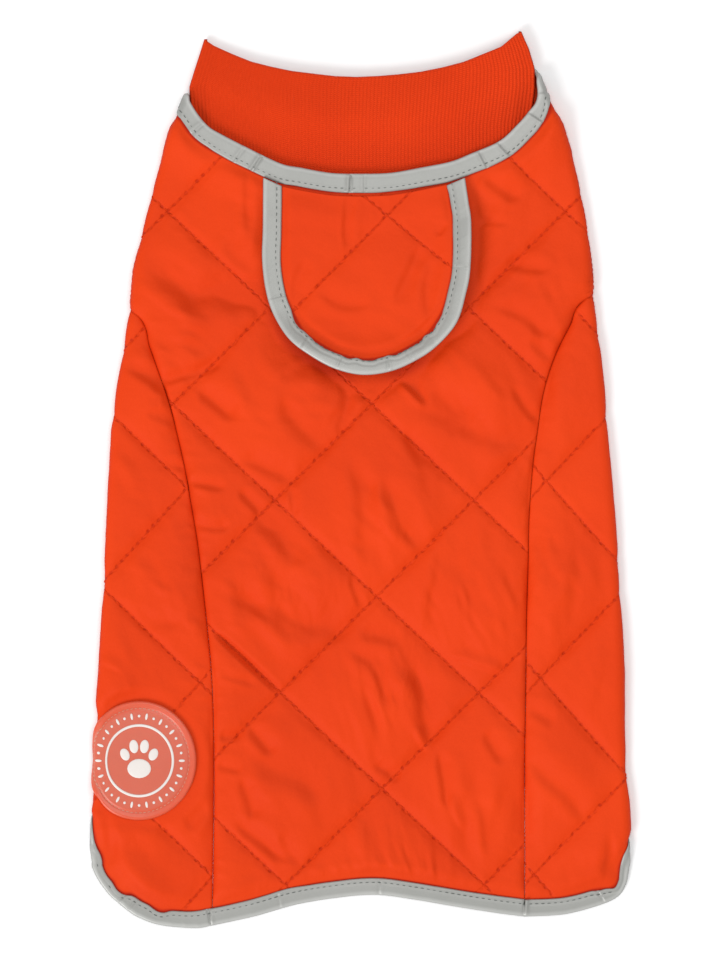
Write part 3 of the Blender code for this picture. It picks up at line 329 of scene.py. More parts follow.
# Badge
BADGE_SEWN_IN = 4.3  # from its rim to its stitching
BADGE_BEAD, BADGE_GROOVE, BADGE_FIELD = 0.30, 0.45, 0.12  # height of the first, depth of the others
BADGE_RING, RING_WIDTH, RING_RISE = 20.4, 1.5, 0.3  # its raised ring
BADGE_STUDS = 36
BADGE_STUD_RADIUS = 25.8
STUD_HALVES = (1.9, 0.75), (0.8, 0.8)  # long ones and round ones by turns
STUD_RISE, PAW_RISE = 0.32, 0.45
BADGE_STITCH = 2.6
PAW = (  # x, v from the middle, half width, half height, turn
    (0, -4.5, 7.2, 5.6, 0), (-8.6, 3.6, 2.7, 3.7, 28), (-3.2, 8.2, 2.7, 3.9, 8),
    (3.2, 8.2, 2.7, 3.9, -8), (8.6, 3.6, 2.7, 3.7, -28),
)

# Threads: share of each stitch that shows, half thickness, how far it stands out
QUILT_THREAD = (0.74, 0.30, 0.15)
TAPE_THREAD = (0.74, 0.27, 0.16)
BADGE_THREAD = (0.7, 0.22, 0.16)

# Rows and columns of the panels' grids, one more than a multiple of four
BACK_GRID = (321, 201)
SIDE_GRID = (221, 101)
BELLY_GRID = (181, 121)
FLAP_GRID = (101, 101)
SIDE_CORNER = -150.0  # v of a side panel's lower outer corner
COARSE = 4  # rows of an outer face to one of its plain inner face

# Colours, linear RGB
SHELL_LIGHT, SHELL_DARK = (0.77, 0.051, 0.0035), (0.68, 0.040, 0.003)
# painted shade of the shell: needle holes, tape edges, below the flap, turned-away cloth
SHELL_PAINTED_SHADE = (0.38, 0.010, 0.001)
BORDER_SHADE = 1.3  # how far from a tape's edge shade is painted on the cloth, in mm
KNIT_LIGHT, KNIT_DARK = (0.88, 0.058, 0.008), (0.77, 0.044, 0.006)
# colour of the knit's painted shade: between stitches, low down, and where it turns away
KNIT_DEEP = (0.34, 0.012, 0.002)
KNIT_SHADE = 0.20  # how much painted shadow of the neck tape lies on the collar low down
TAPE_LIGHT, TAPE_DARK = (0.37, 0.37, 0.35), (0.30, 0.305, 0.285)
# painted shade of the tape where it turns away from the eye
TAPE_TURNED_SHADE = (0.09, 0.09, 0.08)
# colour of the tape's painted highlight along its fold
TAPE_HIGHLIGHT = (0.62, 0.62, 0.60)
FOLD_SHINE = 1.7  # how far from its fold a painted highlight reaches along the tape, in mm
RUBBER_LIGHT, RUBBER_DARK = (0.70, 0.150, 0.086), (0.62, 0.112, 0.062)
RUBBER_RIM = (0.70, 0.095, 0.038)
RIM_FADE = 2.0  # over which the rim's colour changes to the middle's, in mm
PATCHES, FLECKS = 14.0, 900.0  # how many to a metre in an uneven colour
SHELL_ROUGH = 0.62

# Stage, in metres
FLOOR_SIZE = 8.0
FLOOR_COLOUR = (0.97, 0.97, 0.97, 1)
SKY = 0.6
LIGHTS = (  # name, place, size, power
    ("key", (-2.3, -2.76, 2.5), 1.8, 100.0),
    ("fill", (0.15, 0.25, 1.2), 0.95, 5.1),
)
LENS = 100.0
CAMERA = (0.00015, 0.0, 1.547)


def smooth(t):
    """0 below 0, 1 above 1, and a soft S between."""
    t = np.clip(t, 0.0, 1.0)
    return t * t * (3.0 - 2.0 * t)


def hill(x, width):
    """1 at 0, falling softly to 0 on both sides."""
    return np.exp(-((x / width) ** 2))


def spline(rows, per_span=12):
    """Points of a smooth curve through the rows (Catmull-Rom)."""
    rows = np.array(rows, float)
    padded = np.vstack([2 * rows[0] - rows[1], rows, 2 * rows[-1] - rows[-2]])
    t = np.linspace(0, 1, per_span, endpoint=False)[:, None]
    spans = []
    for before, start, end, after in zip(padded, padded[1:], padded[2:], padded[3:]):
        slope_0, slope_1 = (end - before) / 2, (after - start) / 2
        spans.append(
            (2 * t**3 - 3 * t**2 + 1) * start + (t**3 - 2 * t**2 + t) * slope_0
            + (3 * t**2 - 2 * t**3) * end + (t**3 - t**2) * slope_1
        )
    return np.vstack(spans + [rows[-1:]])


FOLD_ROWS = np.array(FOLDS)[::-1]


def fold_of(side, v):
    """x of a side's fold line."""
    return np.interp(v, FOLD_ROWS[:, 0], FOLD_ROWS[:, 1 if side == "left" else 2])


def under(x, v):
    """Map u of the point x, v underneath."""
    x = np.asarray(x, float)
    return 2 * np.where(x < 0, fold_of("left", v), fold_of("right", v)) - x


def distance(points, line):
    """Distance from each point to a polyline, for a few thousand points at a time."""
    if len(line) > 100:
        line = np.vstack([line[:-1:3], line[-1:]])
    start, run = line[:-1], np.diff(line, axis=0)
    length = np.maximum((run**2).sum(-1), 1e-9)
    found = []
    for some in np.array_split(points, len(points) // 4000 + 1):
        gap = some[:, None] - start[None]
        t = np.clip((gap * run).sum(-1) / length, 0, 1)
        found.append(np.sqrt(((gap - t[..., None] * run) ** 2).sum(-1).min(1)))
    return np.concatenate(found)


def leg_arc(side, start, end, count=40):
    """Part of a leg opening's edge, as x and v. Angle 0 is its outer side and 90 its front."""
    leg = LEGS[side]
    outward = -1 if side == "left" else 1
    angle = np.radians(np.linspace(start, end, count))
    return np.column_stack([
        leg["x"] + outward * leg["across"] * np.cos(angle),
        leg["v"] + leg["along"] * np.sin(angle),
    ])


def on_map(line):
    """A line underneath, x and v, taken to the map."""
    return np.stack([under(line[..., 0], line[..., 1]), line[..., 1]], axis=-1)


def turned_edge(side, column):
    """The rear edge on the map where it turns under, from the top to the belly."""
    rows = np.array(TURN)
    v = rows[:, column]
    outward = -1 if side == "left" else 1
    return np.column_stack([fold_of(side, v) - outward * rows[:, 2], v])


def between(rows, low, high):
    """The rows whose first value lies from low to high."""
    return np.array([row for row in rows if low <= row[0] <= high], float)


def shaped_seam(rows, leg_end):
    """A shaped seam on the map, from the hem round the side fold to the leg opening."""
    x, v = leg_end
    return spline(np.vstack([rows, [under(x, v), v]]))


def edges():
    """Every edge and seam line on the map. Belly lines stay as x and v."""
    lines = {}
    shoulders = (between(NECK_UNDER, -200, CHEST_SEAM[0]), between(NECK_UNDER, CHEST_SEAM[1], 200))
    lines["neck_back"] = spline(
        np.vstack([on_map(shoulders[0])[::-1], NECK_TOP, on_map(shoulders[1])[::-1]])
    )
    lines["neck_belly"] = spline(between(NECK_UNDER, *CHEST_SEAM))
    lines["hem_back"] = spline(between(HEM, *SEAM_AT_HEM))
    lines["hem_left"] = spline(
        np.vstack([turned_edge("left", 0)[::-1], between(HEM, -200, SEAM_AT_HEM[0])])
    )
    lines["hem_right"] = spline(
        np.vstack([between(HEM, SEAM_AT_HEM[1], 200), turned_edge("right", 1)])
    )
    lines["belly_end"] = spline(BELLY_END)
    for side, seam in (("left", SEAM_LEFT), ("right", SEAM_RIGHT)):
        angle = -LEGS[side]["seam"]
        lines["leg_back_" + side] = leg_arc(side, angle, 90)
        lines["leg_side_" + side] = leg_arc(side, -90, angle)
        lines["leg_belly_" + side] = leg_arc(side, 90, 270, 80)
        lines["seam_" + side] = shaped_seam(seam, lines["leg_back_" + side][0])
        neck = lines["neck_belly"][0 if side == "left" else -1]
        lines["chest_" + side] = np.linspace(lines["leg_back_" + side][-1], neck, 20)
        rear = lines["belly_end"][0 if side == "left" else -1]
        lines["belly_" + side] = np.linspace(lines["leg_side_" + side][0], rear, 40)
    return lines


LINES = edges()


def half(line, side):
    """The part of a line underneath that lies on one side of the middle, on the map."""
    keep = line[:, 0] < 0 if side == "left" else line[:, 0] >= 0
    return on_map(line[keep])


BOUND = [LINES[name] for name in ("neck_back", "hem_back", "hem_left", "hem_right")] + [
    half(LINES[name], side)
    for side in ("left", "right")
    for name in ("neck_belly", "belly_end", "leg_back_" + side, "leg_side_" + side,
                 "leg_belly_" + side)
]
SEAMS = [LINES["seam_left"], LINES["seam_right"]]
MIRROR = (-1, 1)  # the belly's own map is x and v seen from below


def nearest(u, v, lines):
    """Distance from map points to the nearest of some lines."""
    points = np.column_stack([np.ravel(u), np.ravel(v)])
    return np.min([distance(points, line) for line in lines], axis=0).reshape(np.shape(u))


def distance_field(lines):
    """Distances to the nearest of some lines at every FIELD_STEP of the whole map."""
    u, v = (np.arange(-size, size + FIELD_STEP, FIELD_STEP) for size in FIELD_SIZE)
    return nearest(*np.meshgrid(u, v, indexing="ij"), lines)


def from_field(field, u, v):
    """A field's value at map points, blended between the four around each."""
    at = [np.clip((value + size) / FIELD_STEP, 0, count - 1.001)
          for value, size, count in zip((u, v), FIELD_SIZE, field.shape)]
    (i, j), (s, t) = (at[0].astype(int), at[1].astype(int)), (at[0] % 1, at[1] % 1)
    low = field[i, j] * (1 - s) + field[i + 1, j] * s
    high = field[i, j + 1] * (1 - s) + field[i + 1, j + 1] * s
    return low * (1 - t) + high * t


FIELDS = {
    "bound": distance_field(BOUND),
    "hem": distance_field([LINES[name] for name in ("hem_back", "hem_left", "hem_right")]),
    "neck": distance_field([LINES["neck_back"]]),
}


def pressed(u, v):
    """1 where a binding presses the wall flat, 0 in the open."""
    return 1 - smooth((from_field(FIELDS["bound"], u, v) - PRESSED) / PRESSED_FADE)


def fold_turn(u, v):
    """Side, fold line, hollow's reach from it, and how far round the fold: 1 on top, -1 under."""
    left = u < 0
    fold = np.where(left, fold_of("left", v), fold_of("right", v))
    side = np.where(left, 1.0, -1.0)
    reach = np.interp(v, STRAIGHT_FOLDS, (TAPE_LIFT + EDGE_WALL, FOLD_REACH,
                                          FOLD_REACH, TAPE_LIFT + EDGE_WALL))
    away = (u - fold) * side
    turn = np.clip(away / (reach + FOLD_RADIUS), -1, 1)
    return side, fold, reach, away, turn


def top_level(x, v):
    """Height of the back wall's inner face: over the underside, down to the surface behind it."""
    rows = np.array(TURN)
    width = np.interp(v, rows[:, 0], -rows[:, 2])
    inward = np.minimum(x - fold_of("left", v), fold_of("right", v) - x) - np.maximum(width, 0)
    past = np.minimum(inward, BELLY_END_V - v)
    open_below = smooth((past - DRAPE_START) / DRAPE)
    behind = smooth((np.interp(x, (-150, 150), BEHIND_TURN) - v) / BEHIND_FADE)
    lay = (UNDER_WALL + HOLLOW) * (1 - open_below) * (1 - behind)
    hem = from_field(FIELDS["hem"], x, v)
    lay = np.maximum(lay, TAPE_LIFT * smooth((HEM_RISE_FAR - hem) / HEM_RISE))
    neck = from_field(FIELDS["neck"], x, v)
    return lay + NECK_RISE * smooth((NECK_RISE_FAR - neck) / (NECK_RISE_FAR - NECK_RISE_NEAR))


def place(u, v, out):
    """Points `out` above the inner face, square to it. Round a side fold the inner face is half an
    ellipse between the two walls."""
    side, fold, reach, away, turn = fold_turn(u, v)
    bend = turn * math.pi / 2
    across = np.where(np.abs(turn) < 1, reach + FOLD_RADIUS * (1 - np.cos(bend)), np.abs(away))
    x = fold + side * across
    top = top_level(x, v)
    low = np.minimum(UNDER_WALL - TAPE_LIFT * pressed(under(x, v), v), top - HOLLOW)
    z = (top + low) / 2 + (top - low) / 2 * np.sin(bend)
    return np.stack([x - side * out * np.cos(bend), v + 0 * x, z + out * np.sin(bend)], axis=-1)


def below_neck(x):
    """The line along which the flap is tucked in under the neck tape."""
    neck = np.array(NECK_TOP)
    return np.column_stack([x, np.interp(x, neck[:, 0], neck[:, 1]) - FLAP_BELOW_EDGE])


def flap_rim():
    """The flap's free edge, and the line under the neck tape that closes it."""
    free = spline(FLAP)
    return free, below_neck(np.linspace(free[-1, 0], free[0, 0], 12))


def inside(points, rim):
    """Which points lie inside a closed outline."""
    x, y = points[:, :1], points[:, 1:]
    x0, y0 = rim.T
    x1, y1 = np.roll(rim, -1, axis=0).T
    crosses = (y0 > y) != (y1 > y)
    with np.errstate(divide="ignore", invalid="ignore"):
        reach = (x1 - x0) * (y - y0) / (y1 - y0) + x0
    return ((x < reach) & crosses).sum(1) % 2 == 1


def flap_gap(u, v):
    """Distance outside the flap, 0 under it."""
    free, top = flap_rim()
    rim = np.vstack([free, top[1:-1]])
    points = np.column_stack([np.ravel(u), np.ravel(v)])
    gap = distance(points, np.vstack([rim, rim[:1]]))
    return np.where(inside(points, rim), 0, gap).reshape(np.shape(u))


def near_flap(u, v):
    """1 under the flap, 0 from a little outside it."""
    return smooth(1 - flap_gap(u, v) / FLAP_BESIDE)


def flap_hollow(u, v):
    """The padding gives way beside the flap's lower and right edges."""
    where = np.maximum(smooth((HOLLOW_BELOW - v) / HOLLOW_FADE),
                       smooth((u - HOLLOW_RIGHT) / HOLLOW_FADE))
    uneven = 1 + 0.5 * noise(u / 13.0 + 9.0, v / 13.0)
    return uneven * where * hill(flap_gap(u, v), FLAP_HOLLOW_REACH)


def flap_painted_shade(u, v):
    """How much painted shade the cloth close beside the flap's lower edges gets, 0 to 1."""
    across, shade = np.array(FLAP_SHADE_BY_X).T
    beyond = np.maximum(flap_gap(u, v) - FLAP_OVERHANG, 0)
    return (np.interp(u, across, shade) * smooth((FLAP_SHADE_BELOW - v) / HOLLOW_FADE)
            * hill(beyond, FLAP_SHADE_REACH))


def near_badge(u, v):
    """1 under the badge, 0 from a little outside it."""
    off = np.hypot(u - BADGE["x"], v - BADGE["v"]) - BADGE["radius"]
    return smooth((BADGE_BED_PAST - off) / BADGE_BED_FADE)


def runs_of(line):
    """Direction of a line at each of its points."""
    run = np.gradient(line, axis=0)
    return run / np.linalg.norm(run, axis=1)[:, None]


def to_left(runs):
    """Directions turned a quarter to the left."""
    return np.column_stack([-runs[:, 1], runs[:, 0]])


def beside(line, gap):
    """A line moved to its left by gap, which may differ from point to point."""
    return line + np.reshape(gap, (-1, 1)) * to_left(runs_of(line))


# ---------------------------------------------------------------- meshes


def link(name, points, faces, maps, material):
    """A piece from points in millimetres, its faces, and its UV maps by name."""
    mesh = bpy.data.meshes.new(name)
    mesh.from_pydata((points * MM).astype(np.float32), [], faces)
    corners = np.empty(len(mesh.loops), np.int32)
    mesh.loops.foreach_get("vertex_index", corners)
    for key, values in maps.items():
        layer = mesh.uv_layers.new(name=key)
        layer.uv.foreach_set("vector", values[corners].astype(np.float32).ravel())
    mesh.shade_smooth()
    mesh.materials.append(material)
    piece = bpy.data.objects.new(name, mesh)
    bpy.context.scene.collection.objects.link(piece)
    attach(piece, "root")
    return piece


def quads(rows, columns, start=0, around=False, down=False):
    """Faces of a grid of rows by columns. It may close on itself, across the columns."""
    row = np.arange(rows - 1)[:, None]
    column = np.arange(columns if around else columns - 1)[None]
    beyond = (column + 1) % columns
    corners = np.stack([row * columns + column, row * columns + beyond,
                        (row + 1) * columns + beyond, (row + 1) * columns + column], axis=-1)
    corners = corners.reshape(-1, 4) + start
    return (corners[:, ::-1] if down else corners).tolist()


def closing(rows, columns):
    """Faces that join the last ring of a grid to its first."""
    column, last = np.arange(columns), (rows - 1) * columns
    beyond = (column + 1) % columns
    return np.column_stack([last + column, last + beyond, beyond, column]).tolist()


def rim_of(rows, columns):
    """Indices round a grid's edge, anticlockwise."""
    grid = np.arange(rows * columns).reshape(rows, columns)
    return np.concatenate([grid[0, :-1], grid[:-1, -1], grid[-1, :0:-1], grid[:0:-1, 0]])


def quilted(name, node, outer, inner, maps):
    """A padded piece from two grids: a fine outer face, and a plain inner face with one point for
    COARSE of the outer's. A strip joins their rims."""
    rows, columns = outer.shape[:2]
    few_rows, few_columns = inner.shape[:2]
    count = rows * columns
    faces = quads(rows, columns)
    faces += quads(few_rows, few_columns, count, down=True)
    fine, plain = rim_of(rows, columns), rim_of(few_rows, few_columns) + count
    for place_of, corner in enumerate(plain):
        span = fine[(place_of * COARSE + np.arange(COARSE + 1)) % len(fine)]
        faces.append([*span[::-1].tolist(), int(corner), int(plain[(place_of + 1) % len(plain)])])
    points = np.vstack([outer.reshape(-1, 3), inner.reshape(-1, 3)])
    both = {key: np.vstack([values.reshape(-1, 2), values[::COARSE, ::COARSE].reshape(-1, 2)])
            for key, values in maps.items()}
    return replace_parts(link(name, points, faces, both, SHELL), node)


def run_along(line):
    """Distance of each point of a line from its start, along it."""
    return np.concatenate([[0], np.cumsum(np.hypot(*np.diff(line, axis=0).T))])


def along(line, count, by="length"):
    """Points spread evenly along a line, by its length or by its second coordinate."""
    if by == "length":
        total = run_along(line)
    else:
        total = np.maximum.accumulate(line[:, 1])
    at = np.linspace(total[0], total[-1], count)
    return np.column_stack([np.interp(at, total, line[:, 0]), np.interp(at, total, line[:, 1])])


def settle(grid, rounds):
    """Moves a grid's inner points until each is the weighted mean of its neighbours. Along the
    rows the weight is the squared step up the columns, and the other way round, which keeps the
    cells from folding over where an edge bends in (Winslow)."""
    for _ in range(rounds):
        right, left, up, down = grid[1:-1, 2:], grid[1:-1, :-2], grid[2:, 1:-1], grid[:-2, 1:-1]
        across, along_it = (right - left) / 2, (up - down) / 2
        skew = (grid[2:, 2:] - grid[:-2, 2:] - grid[2:, :-2] + grid[:-2, :-2]) / 2
        high = (along_it ** 2).sum(-1, keepdims=True)
        wide = (across ** 2).sum(-1, keepdims=True)
        lean = (across * along_it).sum(-1, keepdims=True)
        mean = (high * (right + left) + wide * (up + down) - lean * skew) / (2 * (high + wide))
        grid[1:-1, 1:-1] += 0.9 * (mean - grid[1:-1, 1:-1])
    return grid


def doubled(grid):
    """A grid with a point added halfway between each two."""
    rows = np.empty((2 * grid.shape[0] - 1, grid.shape[1], 2))
    rows[::2], rows[1::2] = grid, (grid[1:] + grid[:-1]) / 2
    full = np.empty((rows.shape[0], 2 * grid.shape[1] - 1, 2))
    full[:, ::2], full[:, 1::2] = rows, (rows[:, 1:] + rows[:, :-1]) / 2
    return full


def patch(bottom, right, top, left, rows, columns):
    """A grid inside four edges. It starts as rows blended from bottom to top, plus columns
    blended from left to right, less the blend of the four corners (Coons), and then settles,
    from a coarse grid to the fine one."""
    bottom, top = along(bottom, columns), along(top, columns)
    left, right = along(left, rows, "v"), along(right, rows, "v")
    s = np.linspace(0, 1, columns)[None, :, None]
    t = np.linspace(0, 1, rows)[:, None, None]
    corners = ((1 - s) * (1 - t) * bottom[0] + s * (1 - t) * bottom[-1]
               + (1 - s) * t * top[0] + s * t * top[-1])
    edged = ((1 - t) * bottom[None] + t * top[None]
             + (1 - s) * left[:, None] + s * right[:, None] - corners)
    grid = settle(edged[::4, ::4].copy(), 900)
    for skip, rounds in ((2, 120), (1, 60)):
        grid, exact = doubled(grid), edged[::skip, ::skip]
        grid[0], grid[-1], grid[:, 0], grid[:, -1] = exact[0], exact[-1], exact[:, 0], exact[:, -1]
        settle(grid, rounds)
    return grid


# ---------------------------------------------------------------- folds of the cloth

LATTICE = np.random.default_rng(11).random((64, 64))


def noise(x, y):
    """Soft noise from -1 to 1 with a period of 64: random values at whole numbers, and an S
    curve between them."""
    column, row = np.floor(x).astype(int), np.floor(y).astype(int)
    s, t = smooth(x - column), smooth(y - row)
    here, beyond = column % 64, (column + 1) % 64
    low, high = row % 64, (row + 1) % 64
    lower = LATTICE[low, here] * (1 - s) + LATTICE[low, beyond] * s
    upper = LATTICE[high, here] * (1 - s) + LATTICE[high, beyond] * s
    return 2 * (lower * (1 - t) + upper * t) - 1


def ridge(x, y):
    """Soft noise folded to sharp crests, 0 in the troughs and 1 on the crests."""
    return (1 - np.abs(noise(x, y))) ** 3


def quilt_map(u, v, quilt):
    """Counts of seams crossed along the two diagonals: each quilting seam is at a whole number."""
    q = QUILT[quilt]
    across = (u - q["x"] - q["drift"] * (v - q["v"])) / q["across"]
    down = (q["v"] - v) / q["along"]
    # at its lower left the flap's seam runs in under the tape
    bent = 0.15 * smooth((114.0 - v) / 14.0) * smooth(-u / 20.0) if quilt == "flap" else 0.0
    return (across - down) / 2 + bent, (across + down) / 2


def pillow_of(a, b):
    """How full the padding is: 0 on each quilting seam, 1 in the middle of each diamond."""
    return np.abs(np.sin(math.pi * a) * np.sin(math.pi * b)) ** PILLOW_POWER


def seam_pucker(a, b):
    """Small folds square to each quilting seam that die out away from it."""
    total = 0
    for off, run, seed in ((a, b, 3.1), (b, a, 17.7)):
        whole = np.round(off)
        gap = np.abs(off - whole) * QUILT_SIDE
        reach = PUCKER_REACH * (0.6 + 0.6 * noise(run * 9.0, whole + seed))
        crests = ridge(run * QUILT_SIDE / PUCKER_PITCH, whole * 7.3 + seed + 0.12 * gap)
        total = total + crests * np.exp(-gap / np.maximum(reach, 2.0))
    return PUCKER_DEPTH * total


def crease_field(u, v, creases=CREASES):
    """Creases that the cloth keeps: each a soft trough along a slightly bent line."""
    total = np.zeros_like(u)
    for u0, v0, u1, v1, width, depth, bend in creases:
        width, depth = width * CREASE_WIDTH, depth * CREASE_DEPTH
        run, length = np.array([u1 - u0, v1 - v0], float), math.hypot(u1 - u0, v1 - v0)
        run /= length
        s = ((u - u0) * run[0] + (v - v0) * run[1]) / length
        off = (v - v0) * run[0] - (u - u0) * run[1] - bend * 4 * s * (1 - s)
        off = off + 0.5 * width * noise(s * length / 16.0, u0)
        ends = smooth((s + 0.06) / 0.3) * smooth((1.06 - s) / 0.3)
        # narrow at its ends, and steep on one side and soft on the other
        side = width * (0.6 + 0.4 * ends) * np.where(off > 0, 1.6, 0.8)
        total -= depth * ends * hill(off, side)
        # what is pushed out of the trough swells beside it
        total += 0.3 * depth * ends * hill(np.abs(off) - 1.8 * side, side)
    return total


def seam_dip(u, v, gap, width):
    """The shaped seams: a valley, and small folds that run into the cloth from it."""
    wander = v + 2.5 * noise(v / 17.0, u / 12.0)
    folds = ridge(wander / 8.0 + 0.02 * gap, np.floor(u / 200.0) + 0.04 * gap)
    reach = 10.0 + 7.0 * noise(v / 21.0 + 4.0, np.floor(u / 200.0))
    valley = SEAM_DIP * np.exp(-gap / width)
    return -valley + SEAM_PUCKER * folds * np.exp(-gap / reach) * smooth(gap / 3.0)


def quilting_groove(a, b):
    """The thread pulls the cloth down in a groove along each quilting seam, deeper and wider in
    some places than in others."""
    total = 0
    for off, run, seed in ((a, b, 5.3), (b, a, 23.9)):
        pull = 1 + 0.45 * noise(run * 3.1, np.round(off) + seed)
        gap = (off - np.round(off)) * QUILT_SIDE
        total = total + pull * hill(gap, GROOVE_WIDTH * pull)
    return total


def billow(u, v, seed=0.0):
    """Broad uneven swelling of the padding, from -1 to 1."""
    return (0.6 * noise(u / 34.0 + seed, v / 41.0) + 0.4 * noise(u / 15.0, v / 19.0 + seed))


def soft_folds(u, v, seed=0.0):
    """Long shallow folds and finer crinkles in the cloth. They lean down to the right on the
    left of the back and hang nearly straight on its right."""
    total = 0
    for size, length, depth, turn in SOFT_FOLDS:
        warp = 0.5 * size * noise(u / (3.1 * size) + seed, v / (3.1 * size))
        lean = FOLD_LEAN + FOLD_TURN * smooth((u + 60.0) / 150.0) + turn
        across = (u * np.sin(lean) + v * np.cos(lean) + warp) / size
        runs = (u * np.cos(lean) - v * np.sin(lean)) / length
        patch_of = smooth(0.45 + 0.9 * noise(u / 43.0 + seed + size, v / 39.0))
        total = total + depth * noise(across + seed, runs + size) * patch_of
    return total


def tape_gap(u, v):
    """How far the open cloth is from the stitched edge of the neck or hem tape, in mm."""
    hem = from_field(FIELDS["hem"], u, v) - HEM_TAPE_WIDTH
    neck = from_field(FIELDS["neck"], u, v) - TAPE_WIDTH
    return np.minimum(hem, neck) + narrowing(u, v)


def cloth_maps(grid, quilt, gap):
    """What the cloth's colour follows: its own map, its quilting seams, and where shade is painted.
    """
    beside_flap = flap_painted_shade(*split(grid)) if quilt == "back" else 0 * gap
    return {"cloth": grid * MM, "quilt": np.stack(quilt_map(*split(grid), quilt), axis=-1),
            "border": np.stack([gap, beside_flap], axis=-1)}


def padded_wall(u, v, quilt):
    """Thickness of the padded wall at each map point: the quilted pillow, less the grooves, plus
    the cloth's folds, pressed flat at the tapes and thinned where it goes round a side fold."""
    from_bound = from_field(FIELDS["bound"], u, v)
    swollen = narrowing(u, v)
    flat = 1 - smooth((from_bound - BED_EDGE + swollen) / (BED_FADE - 0.7 * swollen))
    a, b = quilt_map(u, v, quilt)
    pillow = pillow_of(a, b)
    from_seam = nearest(u, v, SEAMS)
    valley, rise = (SEAM_DIP_WIDTH, SEAM_RISE) if quilt == "back" else SEAM_SIDE
    by_seam = 1 - np.exp(-from_seam / rise)
    covered = near_flap(u, v) if quilt == "back" else 0 * u
    badge = near_badge(u, v) * (1 - flat)
    fill = pillow * by_seam * (1 - flat) * (1 - (1 - FLAP_PRESS) * covered)
    grown = smooth((from_bound - SWELL_FROM) / SWELL_OVER)
    fill = fill * (1 + BILLOW * billow(u, v)) * (0.8 + 0.2 * grown)
    folds = (seam_pucker(a, b) + FOLD_DEPTH * soft_folds(u, v) * pillow
             + crease_field(u, v) + seam_dip(u, v, from_seam, valley))
    folds = folds - GROOVE_DEPTH * quilting_groove(a, b) * by_seam
    open_cloth = (1 - flat) * (1 - 0.85 * covered) * (1 - badge)
    top = EDGE_WALL + (VALLEY - EDGE_WALL) * (1 - flat) + SHOWN_PUFF * fill + folds * open_cloth
    top = top + EDGE_PUCKER * ridge(u / 9.0 + 3.0, v / 9.0) * flat * smooth(1 - flat) * 4
    if quilt == "back":
        top = top - FLAP_HOLLOW * flap_hollow(u, v)
    top = np.maximum(top, LEAST_WALL)
    low = UNDER_WALL - 2 * TAPE_LIFT * flat - GROOVE * (1 - flat) * (1 - smooth(3 * fill))
    top = top + (BADGE_BED - top) * badge
    low = low - BADGE_SINK * badge
    away, turn = fold_turn(u, v)[-2:]
    # at a side fold the padding is pulled even, so the outline runs smoothly
    pulled = FOLD_EVEN * hill(away, FOLD_EVEN_REACH) * (1 - flat) * (1 - badge)
    top = top + pulled * (VALLEY + FOLD_FILL * SHOWN_PUFF - top)
    return low + (top - low) * (turn + 1) / 2


# ---------------------------------------------------------------- panels


def drawn_on_tube(name):
    """A line on the tube's map."""
    under_it = name.split("_")[0] in ("leg", "chest", "belly") or name == "neck_belly"
    return on_map(LINES[name]) if under_it else LINES[name]


def run_of(*names):
    """Lines joined end to end, upwards or left to right. A minus sign turns one round."""
    parts = [drawn_on_tube(name.lstrip("-"))[::-1 if name[0] == "-" else 1] for name in names]
    return np.vstack([parts[0]] + [part[1:] for part in parts[1:]])


def narrowed(grid):
    """A grid whose outer columns keep a little clear of the seam lines."""
    grid = grid.copy()
    for edge, beyond in ((0, 1), (-1, -2)):
        across = grid[:, beyond] - grid[:, edge]
        grid[:, edge] += SEAM_CLEAR * across / np.linalg.norm(across, axis=1)[:, None]
    return grid


def split(grid):
    return grid[..., 0], grid[..., 1]


# ---------------------------------------------------------------- tapes


def tape_section(width, run, pleats, lip):
    """The folded tape's section at each point of its run: steps in from the edge, and heights
    above the wall's inner face. The outside is flat with a groove at its stitching and a soft
    swell beside it; the folded edge is round; behind it the tape turns in."""
    swell = 0.22 * (1 + 0.6 * noise(run / 11.0, 5.0))
    columns = []
    for share in np.linspace(1, 0, TAPE_COLUMNS):
        step = width * share
        from_stitched = width - step
        groove = TAPE_GROOVE * hill(from_stitched - TOPSTITCH_IN, 0.8)
        body = smooth(from_stitched / 3.0) * smooth(step / 2.0)
        ripple = 0.10 * ridge(run / 6.5 + 0.1 * step, 2.0) * smooth(from_stitched / 2.0)
        rolled = 0.35 * (1 - smooth(from_stitched / 0.8)) ** 2
        out = EDGE_WALL + TAPE_LIFT + swell * body - groove + ripple - rolled
        columns.append((step, out + pleat_height(run, step, pleats)))
    middle, half_height = EDGE_WALL / 2, (EDGE_WALL + 2 * TAPE_LIFT) / 2
    for turn in np.linspace(90, -90, 7)[1:-1]:
        swing = math.radians(turn)
        columns.append((-TAPE_LIFT * math.cos(swing) * EDGE_ROUND + 0 * run,
                        middle + half_height * math.sin(swing) + 0 * run))
    inner = EDGE_WALL + TAPE_GAP
    for step, out in ((0.0, -TAPE_LIFT), (lip, -TAPE_LIFT), (lip, -TAPE_GAP), (-0.2, -TAPE_GAP),
                      (-0.2, inner)):
        columns.append((step + 0 * run, out + 0 * run))
    for share in (0.35, 0.7, 1.0):
        columns.append((width * share, inner + 0 * run))
    return columns


def pleat_height(run, step, pleats):
    """Folds across the tape: each dips and then stands up where the tape doubles over."""
    total = 0 * run
    for at, depth, lean in pleats:
        off = run - at - lean * (step / TAPE_WIDTH - 0.5)
        total = total - depth * hill(off + 0.6, 0.6)
        total = total + 0.6 * depth * hill(off - 0.8, 1.0)
    return total


def narrowing(u, v):
    """How much narrower a tape shows at a place, evened between the nearest rows."""
    total, amount = 0.08, 0.0
    for at_u, at_v, less in TAPE_NARROW:
        near = np.exp(-((u - at_u) ** 2 + (v - at_v) ** 2) / NARROW_REACH**2)
        total = total + near
        amount = amount + near * less
    return amount / total


